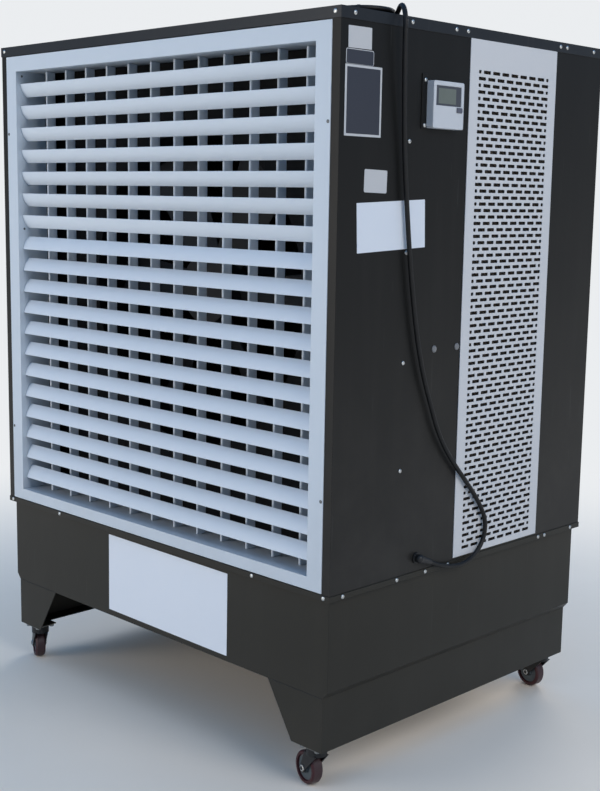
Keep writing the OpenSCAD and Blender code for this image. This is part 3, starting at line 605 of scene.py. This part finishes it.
def wheel_finish(name, axle):
    """Two-tone wheel: a burgundy tread round a grey-blue hub, split by the distance from the axle."""
    material, s, shader, at = new_finish(name, 0.5, specular=0.4)
    centred = s.add("VectorMath", {0: at, 1: axle["pos_m"]}, operation="SUBTRACT").outputs[0]
    beside = s.add("VectorMath", {0: centred, 1: axle["axis"]}, operation="CROSS_PRODUCT").outputs[0]
    away = s.add("VectorMath", {0: beside}, operation="LENGTH").outputs["Value"]
    seam = 0.0003
    tread = s.ramp(away, TREAD_INNER_R - seam, TREAD_INNER_R + seam)
    grime = s.noise(at, 120.0, 4.0)
    red = s.mix(grime, (0.030, 0.0045, 0.0070, 1), (0.052, 0.009, 0.012, 1))
    grey = s.mix(grime, (0.045, 0.056, 0.064, 1), (0.085, 0.102, 0.112, 1))
    scuff_share = 0.30
    scuff_grey = (0.07, 0.065, 0.066, 1)
    scuff_from = WHEEL_R - 0.002
    scuff_to = WHEEL_R + 0.0001
    scuff = s.sum("MULTIPLY", s.ramp(away, scuff_from, scuff_to), scuff_share)
    s.feed(s.mix(tread, grey, s.mix(scuff, red, scuff_grey)), shader.inputs["Base Color"])
    s.feed(s.ramp(grime, 0.3, 0.7, 0.38, 0.6), shader.inputs["Roughness"])
    grain_depth = 0.0001
    bumped(s, shader, s.noise(at, 600.0, 2.0), grain_depth)
    return material


def plug_finish(prong_root):
    """Moulded plug: rubber up to the prongs' roots, then bright metal."""
    material, s, shader, at = new_finish("plug_finish", 0.5)
    along = s.add("VectorMath", {0: at, 1: tuple(COIL_LEAD)}, operation="DOT_PRODUCT").outputs["Value"]
    seam = 0.0004
    grain_depth = 0.00005
    brass = (0.62, 0.56, 0.42, 1)
    prong = s.ramp(along, prong_root, prong_root + seam)
    grain = s.noise(at, 900.0, 2.0)
    rubber = s.mix(grain, (0.007, 0.007, 0.007, 1), (0.014, 0.014, 0.014, 1))
    s.feed(s.mix(prong, rubber, brass), shader.inputs["Base Color"])
    s.feed(prong, shader.inputs["Metallic"])
    s.feed(s.ramp(prong, 0.0, 1.0, 0.55, 0.28), shader.inputs["Roughness"])
    bumped(s, shader, grain, grain_depth)
    return material


def dress(names, material):
    """Gives solids a finish in place of their packed one."""
    for name in names:
        slots = solids[name].data.materials
        slots.clear()
        slots.append(material)


def named(start):
    """The solids whose names begin with start."""
    return [name for name in solids if name.startswith(start)]


def dress_solids():
    """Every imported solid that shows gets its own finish."""
    dress(["roof_panel"], charcoal_roof)
    dress(["corner_panels"], charcoal_sheet)
    dress(["fan_shroud"], shroud_black)
    dress(["water_tank", "leg_skirts"], charcoal_tank)
    dress(["inlet_panels"], white_sheet)
    dress(["grille_frame"], frame_white)
    dress(named("upper_blade_") + named("lower_blade_") + named("vane_"), white_blade)
    dress(["caster_plates"], shaded_zinc)
    dress(["panel_screws"], zinc_plate)
    dress(named("caster_fork_"), black_steel)
    dress(["controller_case"], case_plastic)
    dress(["controller_screen"], screen_glass(*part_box("controller_screen")))
    dress(["controller_button"], button_plastic)
    dress(["power_cord", "cord_coil"], cord_rubber)
    dress(["cord_gland", "fan_impeller", "water_pump"], black_plastic)
    dress(["fan_motor"], motor_enamel)
    dress(["cooling_pads"], pad_paper())
    dress(["water_manifold"], pipe_plastic)
    for name in named("caster_wheel_"):
        dress([name], wheel_finish(name + "_finish", AXLES[name]))
    plug = np.array([point.co for point in solids["mains_plug"].data.vertices])
    dress(["mains_plug"], plug_finish((plug @ COIL_LEAD).max() - PRONG_L))


# Perforated inlet sheets

def slot_corners(half_l, half_h, corner):
    """A slot's outline about its middle: a rectangle with its corners cut at a slant."""
    x = half_l - corner
    y = half_h - corner
    return np.array([
        (-x, -half_h), (x, -half_h), (half_l, -y), (half_l, y),
        (x, half_h), (-x, half_h), (-half_l, y), (-half_l, -y)])


def stamped(template, faces3, faces4, middles):
    """Copies of a template round each middle: points, three-corner faces and four-corner faces."""
    points = (middles[:, None, :] + template[None, :, :]).reshape(-1, 2)
    start = (np.arange(len(middles)) * len(template))[:, None, None]
    return points, (start + faces3).reshape(-1, 3), (start + faces4).reshape(-1, 4)


def full_cell(half, rise):
    """A slot in the middle of a cell one pitch wide: points, three-corner faces and four-corner faces.

    Points 0 to 7 are the slot's corners, and 8 to 13 go round the cell from its lower left corner."""
    slot = slot_corners(SLOT_L / 2, SLOT_H / 2, SLOT_CORNER)
    border = [(-half, -rise), (0, -rise), (half, -rise), (half, rise), (0, rise), (-half, rise)]
    threes = np.array([
        (8, 9, 0), (9, 1, 0), (9, 10, 1), (10, 2, 1), (11, 4, 3),
        (11, 12, 4), (12, 5, 4), (12, 13, 5), (13, 6, 5), (8, 0, 7)])
    fours = np.array([(10, 11, 3, 2), (13, 8, 7, 6)])
    return np.concatenate([slot, border]), threes, fours


def cut_cell(half, rise):
    """A cut-off slot in half a cell, as full_cell gives it: points 8 to 11 go round the half cell."""
    stub_l = half - (SLOT_PITCH - SLOT_L)
    stub = slot_corners(stub_l / 2, SLOT_H / 2, SLOT_CORNER)
    quarter = half / 2
    border = [(-quarter, -rise), (quarter, -rise), (quarter, rise), (-quarter, rise)]
    threes = np.array([(9, 2, 1), (10, 4, 3), (11, 6, 5), (8, 0, 7)])
    fours = np.array([(8, 9, 1, 0), (9, 10, 3, 2), (10, 11, 5, 4), (11, 8, 7, 6)])
    return np.concatenate([stub, border]), threes, fours


def margin_strips(lines_x, lines_z):
    """The outer strips of the grid that two sets of lines make, as points and faces."""
    grid = np.stack(np.meshgrid(lines_x, lines_z, indexing="ij"), -1)
    column, row = np.meshgrid(np.arange(len(lines_x) - 1), np.arange(len(lines_z) - 1), indexing="ij")
    across = len(lines_z)
    corner = column * across + row
    quads = np.stack([corner, corner + across, corner + across + 1, corner + 1], -1)
    outer = (column == 0) | (column == len(lines_x) - 2) | (row == 0) | (row == len(lines_z) - 2)
    return grid.reshape(-1, 2), np.zeros((0, 3), int), quads[outer]


def inlet_drawing(height):
    """One sheet drawn flat, from its lower left corner.

    The punched area is rows of cells. A full cell is one slot pitch wide, with a slot in its
    middle; every other row starts half a pitch later, so half a cell with a cut-off slot closes
    it at each end. Margins round the cells are strips that share the cells' corner points."""
    half = SLOT_PITCH / 2
    rise = ROW_PITCH / 2
    punched_w = FULL_SLOTS * SLOT_PITCH
    left = (INLET_W - punched_w) / 2
    row_z = height - FIRST_ROW_BELOW_TOP - np.arange(ROWS) * ROW_PITCH
    even_x = left + half + np.arange(FULL_SLOTS) * SLOT_PITCH
    odd_x = even_x[:-1] + half
    ends_x = (left + half / 2, left + punched_w - half / 2)
    even = [(x, z) for z in row_z[1::2] for x in even_x]
    odd = [(x, z) for z in row_z[0::2] for x in odd_x]
    short = [(x, z) for z in row_z[0::2] for x in ends_x]
    lines_x = np.concatenate([[0], left + half * np.arange(2 * FULL_SLOTS + 1), [INLET_W]])
    lines_z = np.concatenate([[0], row_z[-1] - rise + ROW_PITCH * np.arange(ROWS + 1), [height]])
    parts = [margin_strips(lines_x, lines_z)]
    parts.append(stamped(*full_cell(half, rise), np.array(even + odd)))
    parts.append(stamped(*cut_cell(half, rise), np.array(short)))
    starts = np.cumsum([0] + [len(part[0]) for part in parts])
    points = np.concatenate([part[0] for part in parts])
    threes = np.concatenate([part[1] + start for part, start in zip(parts, starts)])
    fours = np.concatenate([part[2] + start for part, start in zip(parts, starts)])
    return points, threes, fours


def inlet_sheet(name, corner, along):
    """A perforated sheet that stands with its lower corner at corner and runs along a direction."""
    height = INLET_HIGH.z - INLET_LOW.z
    drawn, threes, fours = inlet_drawing(height)
    points = np.array(corner) + drawn[:, :1] * np.array(along) + drawn[:, 1:] * np.array((0, 0, 1))
    kept, faces = merged(points, [threes, fours])
    used = np.unique(np.concatenate([np.ravel(face) for face in faces]))
    order = np.zeros(len(kept), int)
    order[used] = np.arange(len(used))
    faces = [order[face].tolist() for face in faces]
    piece = mesh_piece(name, kept[used], faces, white_sheet)
    wall = piece.modifiers.new("sheet", "SOLIDIFY")
    wall.thickness = SHEET_T
    wall.offset = -1
    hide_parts("inlet_panels")
    return piece


def inlet_sheets():
    """Two sheets in the sides and two in the rear, as the solids have them."""
    front_y = CABINET_FRONT + INLET_BEHIND_FRONT
    foot = INLET_LOW.z
    inlet_sheet("inlet_sheet_right", (INLET_HIGH.x, front_y, foot), (0, 1, 0))
    inlet_sheet("inlet_sheet_left", (INLET_LOW.x, front_y + INLET_W, foot), (0, -1, 0))
    inlet_sheet("inlet_sheet_rear_right", (REAR_INLET_X + INLET_W, INLET_HIGH.y, foot), (-1, 0, 0))
    inlet_sheet("inlet_sheet_rear_left", (-REAR_INLET_X, INLET_HIGH.y, foot), (-1, 0, 0))


# Mains lead

def route_curve(points, steps):
    """A Catmull-Rom curve through points: each span is a cubic set by its four neighbours."""
    before = np.concatenate([points[:1], points[:-2]])[:, None]
    here = points[:-1][:, None]
    there = points[1:][:, None]
    after = np.concatenate([points[2:], points[-1:]])[:, None]
    t = (np.arange(steps) / steps)[None, :, None]
    first = (there - before) * t
    second = (2 * before - 5 * here + 4 * there - after) * t ** 2
    third = (3 * here - before - 3 * there + after) * t ** 3
    spans = 0.5 * (2 * here + first + second + third)
    return np.concatenate([spans.reshape(-1, 3), points[-1:]])


def coil_curve():
    """A flat double coil: it winds in at a steady rate, climbs a layer in half a turn, winds out."""
    t = np.linspace(0, COIL_TURNS, COIL_TURNS * COIL_STEPS + 1)
    radius = COIL_R - TURN_STEP * np.minimum(t, COIL_TURNS - t)
    climb = np.clip((t - COIL_TURNS / 2 + CLIMB / 2) / CLIMB, 0, 1)
    turn = math.tau * t + COIL_BEARING
    rise = LAYER_STEP * (1 - np.cos(math.pi * climb)) / 2
    winding = COIL_MIDDLE + np.stack([radius * np.cos(turn), radius * np.sin(turn), rise], -1)
    return np.concatenate([winding, winding[-1:] + CORD_D * COIL_LEAD])


def mains_lead():
    """The lead as one open curve, with the gland and the plug on it."""
    path = np.concatenate([route_curve(CORD_ROUTE, CORD_STEPS), coil_curve()])
    data = bpy.data.curves.new("mains_lead", "CURVE")
    data.dimensions = "3D"
    data.bevel_depth = CORD_D / 2
    data.bevel_resolution = 4
    data.use_fill_caps = True
    data.materials.append(cord_rubber)
    spline = data.splines.new("POLY")
    spline.points.add(len(path) - 1)
    spline.points.foreach_set("co", np.column_stack([path, np.ones(len(path))]).ravel())
    spline.use_smooth = True
    lead = bpy.data.objects.new("mains_lead", data)
    bpy.context.scene.collection.objects.link(lead)
    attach(lead, CABINET)
    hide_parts("power_cord", "cord_coil")
    tie = cord_tie(path)
    return lead


def cord_tie(path):
    """A thin strap round the coil's bundle: four rounded outlines, inner and outer on each of its sides."""
    out = np.array((math.cos(TIE_BEARING), math.sin(TIE_BEARING), 0))
    beside = np.array((-out[1], out[0], 0))
    coil = path[len(CORD_ROUTE) * CORD_STEPS:] - COIL_MIDDLE
    near_half = 0.004
    near = coil[(np.abs(coil @ beside) < near_half) & (coil @ out > 0)]
    reach = near @ out
    level = near[:, 2]
    bundle_w = reach.max() - reach.min() + CORD_D + TIE_SLACK
    bundle_h = level.max() - level.min() + CORD_D + TIE_SLACK
    centre = COIL_MIDDLE + out * (reach.max() + reach.min()) / 2
    centre[2] += (level.max() + level.min()) / 2
    corner_steps = 7
    rings = []
    for grow, side in ((0, -TIE_HALF_W), (TIE_T, -TIE_HALF_W), (TIE_T, TIE_HALF_W), (0, TIE_HALF_W)):
        loop = round_outline(bundle_w + 2 * grow, bundle_h + 2 * grow, CORD_D / 2 + grow, corner_steps)
        flat = loop[:, :1] * out + loop[:, 1:] * np.array((0, 0, 1))
        rings.append(flat + beside * side)
    faces = ring_quads(len(rings), len(rings[0]), closed=True)
    points = np.concatenate(rings) + centre
    return mesh_piece("cord_tie", points, faces, black_plastic, smooth=40)


# Labels, plates and fasteners on the cabinet

def leaning(shell, degrees):
    """A shell turned about its own z."""
    points, faces = shell
    turn = math.radians(degrees)
    cos = math.cos(turn)
    sin = math.sin(turn)
    spin = np.array([(cos, -sin, 0), (sin, cos, 0), (0, 0, 1)])
    return points @ spin.T, faces


def side_plate(name, across, upright, material,
               lean=0.0, lift=0.0, thick=LABEL_T, corner=LABEL_CORNER):
    """A thin plate on the controller's side: spans behind the cabinet's front and above its underside."""
    width = across[1] - across[0]
    height = upright[1] - upright[0]
    at = (SIDE_X + lift, CABINET_FRONT + sum(across) / 2, CABINET_Z + sum(upright) / 2)
    shell = leaning(plate_shell(width, height, thick, corner, thick / 4), lean)
    points, faces = placed(shell, at, OUT_RIGHT)
    return mesh_piece(name, points, faces, material)


def labels():
    """Bare labels and plates, where the machine has its own."""
    side_plate("paper_label", (0.022, 0.087), (1.0565, 1.0965), label_white, lean=0.6)
    side_plate("label_frame", (0.0165, 0.094), (1.027, 1.055), label_white, corner=0.004)
    side_plate("label_face", (0.018, 0.0925), (1.0275, 1.0535), label_dark,
               lift=LABEL_T, thick=LABEL_T / 2, corner=0.003)
    side_plate("placard_frame", (0.0145, 0.118), (0.895, 1.0262), label_white,
               lift=LABEL_T)
    side_plate("placard_face", (0.0195, 0.113), (0.8995, 1.0217), label_dark,
               lift=2 * LABEL_T, thick=LABEL_T / 2)
    side_plate("small_label", (0.0745, 0.1405), (0.790, 0.834), label_white,
               lean=-1.4, corner=0.003)
    side_plate("side_sticker", (0.0565, 0.2605), (0.6785, 0.7745), sticker_white,
               lean=2.5)
    sticker = plate_shell(FRONT_STICKER_W, FRONT_STICKER_H, LABEL_T, LABEL_CORNER, edge=LABEL_T / 4)
    at = (FRONT_STICKER_X, TANK_FRONT, FRONT_STICKER_Z)
    points, faces = placed(leaning(sticker, degrees=-0.3), at, OUT_FRONT)
    mesh_piece("front_sticker", points, faces, sticker_white)


def screw_head(radius, rise):
    """A domed head with a round recess in its top."""
    profile = [(1, 0), (1, 0.35), (0.86, 0.72), (0.60, 0.94), (0.36, 1), (0.32, 0.62), (0.08, 0.55)]
    return turned_shell([(radius * share, rise * level) for share, level in profile], around=16)


def islands(mesh):
    """Lowest and highest corner of each separate shell of a mesh."""
    count = len(mesh.vertices)
    points = np.zeros(count * 3)
    mesh.vertices.foreach_get("co", points)
    points = points.reshape(-1, 3)
    ends = np.zeros(len(mesh.edges) * 2, int)
    mesh.edges.foreach_get("vertices", ends)
    ends = ends.reshape(-1, 2)
    _, label = np.unique(np.round(points * 1e6).astype(np.int64), axis=0, return_inverse=True)
    label = label.reshape(-1)
    while True:
        lower = np.minimum(label[ends[:, 0]], label[ends[:, 1]])
        best = np.arange(label.max() + 1)
        np.minimum.at(best, label[ends[:, 0]], lower)
        np.minimum.at(best, label[ends[:, 1]], lower)
        if np.array_equal(best[label], label):
            break
        label = best[label]
    return [(points[label == k].min(0), points[label == k].max(0)) for k in np.unique(label)]


def panel_screws():
    """Domed heads on the cabinet's screws, in place of the solids' plain ones."""
    shells = []
    for low, high in islands(solids["panel_screws"].data):
        middle = (low + high) / 2
        top = np.where(middle > 0, high - PLAIN_HEAD_RISE, low + PLAIN_HEAD_RISE)
        if SIDE_X - abs(middle[0]) < ROOF_HIGH.y - abs(middle[1]):
            turn = OUT_RIGHT if middle[0] > 0 else OUT_LEFT
            at = (top[0], middle[1], middle[2])
        else:
            turn = OUT_REAR if middle[1] > 0 else OUT_FRONT
            at = (middle[0], top[1], middle[2])
        shells.append(placed(screw_head(*PANEL_HEAD), at, turn))
    points, faces = joined(shells)
    heads = mesh_piece("panel_screw_heads", points, faces, zinc_plate, smooth=HEAD_SMOOTH)
    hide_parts("panel_screws")


def outlet_frame_screws():
    """Dark screws of the outlet frame: two on each side of its face, three down each inner wall."""
    heads = []
    for x in (-FRAME_SCREW_X, FRAME_SCREW_X):
        for level in FRAME_SCREW_LEVELS:
            at = (x, CABINET_FRONT, CABINET_Z + level)
            heads.append(placed(screw_head(*FRAME_HEAD), at, OUT_FRONT))
    wall_x = GRILLE_HIGH.x - FRAME_FACE_W
    y = CABINET_FRONT + JAMB_SCREW_BEHIND
    for z in JAMB_SCREW_Z:
        heads.append(placed(screw_head(*JAMB_HEAD), (-wall_x, y, z), OUT_RIGHT))
        heads.append(placed(screw_head(*JAMB_HEAD), (wall_x, y, z), OUT_LEFT))
    points, faces = joined(heads)
    mesh_piece("outlet_frame_screws", points, faces, screw_black, smooth=HEAD_SMOOTH)


def controller_bracket():
    """A dark strip beside the controller, with a bright screw near each end."""
    side_plate("controller_bracket", (0.238, 0.2535), (0.919, 1.026), charcoal_sheet,
               thick=BRACKET_T)
    heads = []
    for level in BRACKET_SCREW_LEVELS:
        at = (SIDE_X + BRACKET_T, CABINET_FRONT + BRACKET_SCREW_BEHIND, CABINET_Z + level)
        heads.append(placed(screw_head(*BRACKET_HEAD), at, OUT_RIGHT))
    points, faces = joined(heads)
    mesh_piece("bracket_screws", points, faces, zinc_plate, smooth=HEAD_SMOOTH)


def blanking_plugs():
    """Two round grey caps on the controller's side, each turned from a profile with a rounded edge."""
    profile = [(0.0075, 0), (0.0075, 0.0008), (0.0066, 0.0018), (0.004, 0.0022)]
    caps = []
    for behind in PLUGS_BEHIND:
        at = (SIDE_X, CABINET_FRONT + behind, CABINET_Z + PLUG_LEVEL)
        caps.append(placed(turned_shell(profile), at, OUT_RIGHT))
    points, faces = joined(caps)
    mesh_piece("blanking_plugs", points, faces, plug_grey, smooth=HEAD_SMOOTH)


def axle_nuts():
    """A nut on each end of every axle, riding on its fork."""
    up = np.array((0, 0, 1))
    for name in named("caster_wheel_"):
        middle = np.array(AXLES[name]["pos_m"])
        along = np.array(AXLES[name]["axis"])
        nuts = []
        for out in (-along, along):
            turn = np.column_stack([np.cross(up, out), up, out])
            nuts.append(placed(hex_nut(*AXLE_NUT), middle + CHEEK_FACE * out, turn))
        points, faces = joined(nuts)
        corner = name.removeprefix("caster_wheel_")
        fork = "caster_fork_" + corner
        mesh_piece("axle_nuts_" + corner, points, faces, zinc_plate, body=fork)


def caster_plate_bolts():
    """Four bolts under each caster's plate, one near each corner."""
    bolts = []
    for low, high in islands(solids["caster_plates"].data):
        middle = (low + high) / 2
        for x in (-PLATE_BOLT_OFF, PLATE_BOLT_OFF):
            for y in (-PLATE_BOLT_OFF, PLATE_BOLT_OFF):
                at = (middle[0] + x, middle[1] + y, high[2] - CASTER_PLATE_T)
                bolts.append(placed(hex_nut(*PLATE_BOLT), at, OUT_DOWN))
    points, faces = joined(bolts)
    mesh_piece("caster_plate_bolts", points, faces, shaded_zinc)


def leg_seam_shadows():
    """A thin dark strip along each joint of the tank with a leg, front and rear: painted shadow of the gap.
    """
    end_gap = 0.0015
    shadow_strip = plate_shell(LEG_W - 2 * end_gap, height=0.0018, thick=0.0005, corner=0.0008, edge=0.0003)
    shadow_strips = []
    for x in (SKIRT_LOW.x + LEG_W / 2, SKIRT_HIGH.x - LEG_W / 2):
        shadow_strips.append(placed(shadow_strip, (x, TANK_FRONT, LEG_TOP), OUT_FRONT))
        shadow_strips.append(placed(shadow_strip, (x, -TANK_FRONT, LEG_TOP), OUT_REAR))
    points, faces = joined(shadow_strips)
    mesh_piece("leg_seam_shadows", points, faces, black_plastic)


# Camera, light and floor

def photo_camera():
    """The camera: turned about the upright, dipped below the level, then rolled about its own view."""
    data = bpy.data.cameras.new("camera")
    data.lens = LENS_MM
    data.sensor_width = SENSOR_MM
    camera = bpy.data.objects.new("camera", data)
    turn = Matrix.Rotation(CAMERA_TURN, 4, "Z")
    dip = Matrix.Rotation(math.pi / 2 - CAMERA_DIP, 4, "X")
    roll = Matrix.Rotation(CAMERA_ROLL, 4, "Z")
    camera.matrix_world = Matrix.Translation(CAMERA_AT) @ turn @ dip @ roll
    bpy.context.scene.collection.objects.link(camera)
    bpy.context.scene.camera = camera


def sky_light():
    """A sky that turns bluer from the horizon up lights the object and shows in its reflections.

    The camera, and rays through glass, see the plain backdrop instead."""
    world = bpy.data.worlds.new("studio")
    bpy.context.scene.world = world
    world.use_nodes = True
    world.node_tree.nodes.clear()
    s = Shades(world.node_tree)
    up = s.add("SeparateXYZ", {0: s.add("TexCoord").outputs["Generated"]}).outputs["Z"]
    sky = s.mix(s.ramp(up, *SKY_BAND), HORIZON, ZENITH)
    light = s.add("Background", {"Color": sky, "Strength": SKY_STRENGTH})
    shown = s.add("Background", {"Color": BACKDROP, "Strength": 1.0})
    path = s.add("LightPath").outputs
    through = s.sum("MAXIMUM", path["Is Camera Ray"], path["Is Transmission Ray"])
    both = s.add("MixShader", {0: through, 1: light.outputs[0], 2: shown.outputs[0]})
    s.add("OutputWorld", {0: both.outputs[0]})


def studio():
    """The camera, a pale floor that fades into a pale background, and three soft warm lamps."""
    bpy.context.scene.view_settings.view_transform = "Standard"
    photo_camera()
    sky_light()
    floor_disc()
    soft_lamp("key", at=(-1.6, -4.7, 1.4), towards=(0, 0, 0.8), size=3.2, watts=96)
    soft_lamp("side", at=(4.6, -0.6, 3.4), towards=(0.4, 0, 0.8), size=3.0, watts=100)
    soft_lamp("rear", at=(-1.5, 4.6, 3.2), towards=(0, 0, 0.8), size=3.0, watts=95)


def seen_rays(s):
    """1 for rays that show a background: from the camera, or by way of metal or glass."""
    path = s.add("LightPath").outputs
    glossy = s.sum("MAXIMUM", path["Is Glossy Ray"], path["Is Transmission Ray"])
    return s.sum("MAXIMUM", path["Is Camera Ray"], glossy)


def soft_lamp(name, at, towards, size, watts):
    """A round warm lamp at one place, turned towards another."""
    data = bpy.data.lights.new(name, "AREA")
    data.shape = "DISK"
    data.size = size
    data.energy = watts
    data.color = WARM
    lamp = bpy.data.objects.new(name, data)
    lamp.location = at
    lamp.rotation_euler = (Vector(towards) - Vector(at)).to_track_quat("-Z", "Y").to_euler()
    bpy.context.scene.collection.objects.link(lamp)
    return lamp


def floor_disc():
    """A wide floor whose far part shows as the background does, so that no horizon line is seen."""
    turn = np.linspace(0, math.tau, FLOOR_SIDES, endpoint=False)
    points = np.column_stack([np.cos(turn) * FLOOR_R, np.sin(turn) * FLOOR_R, np.zeros(FLOOR_SIDES)])
    mesh = bpy.data.meshes.new("floor")
    mesh.from_pydata(points.tolist(), [], [list(range(FLOOR_SIDES))])
    material, s, shader, at = new_finish("floor_finish", 0.9, specular=0.1)
    speck = s.noise(at, 6.0, 3.0)
    s.feed(s.mix(speck, (0.91, 0.81, 0.69, 1), (0.94, 0.84, 0.72, 1)), shader.inputs["Base Color"])
    away = s.add("VectorMath", {0: at}, operation="LENGTH").outputs["Value"]
    far = s.sum("MULTIPLY", s.ramp(away, *FLOOR_FADE), seen_rays(s))
    glow = s.add("Emission", {"Color": BACKDROP, "Strength": 1.0})
    both = s.add("MixShader", {0: far, 1: shader.outputs[0], 2: glow.outputs[0]})
    s.feed(both.outputs[0], material.node_tree.nodes["Material Output"].inputs[0])
    mesh.materials.append(material)
    floor = bpy.data.objects.new("floor", mesh)
    bpy.context.scene.collection.objects.link(floor)


studio()
mains_lead()
dress_solids()
inlet_sheets()
labels()
panel_screws()
outlet_frame_screws()
controller_bracket()
blanking_plugs()
axle_nuts()
caster_plate_bolts()
# Painted shadow along the joints of the tank and the legs
leg_seam_shadows()
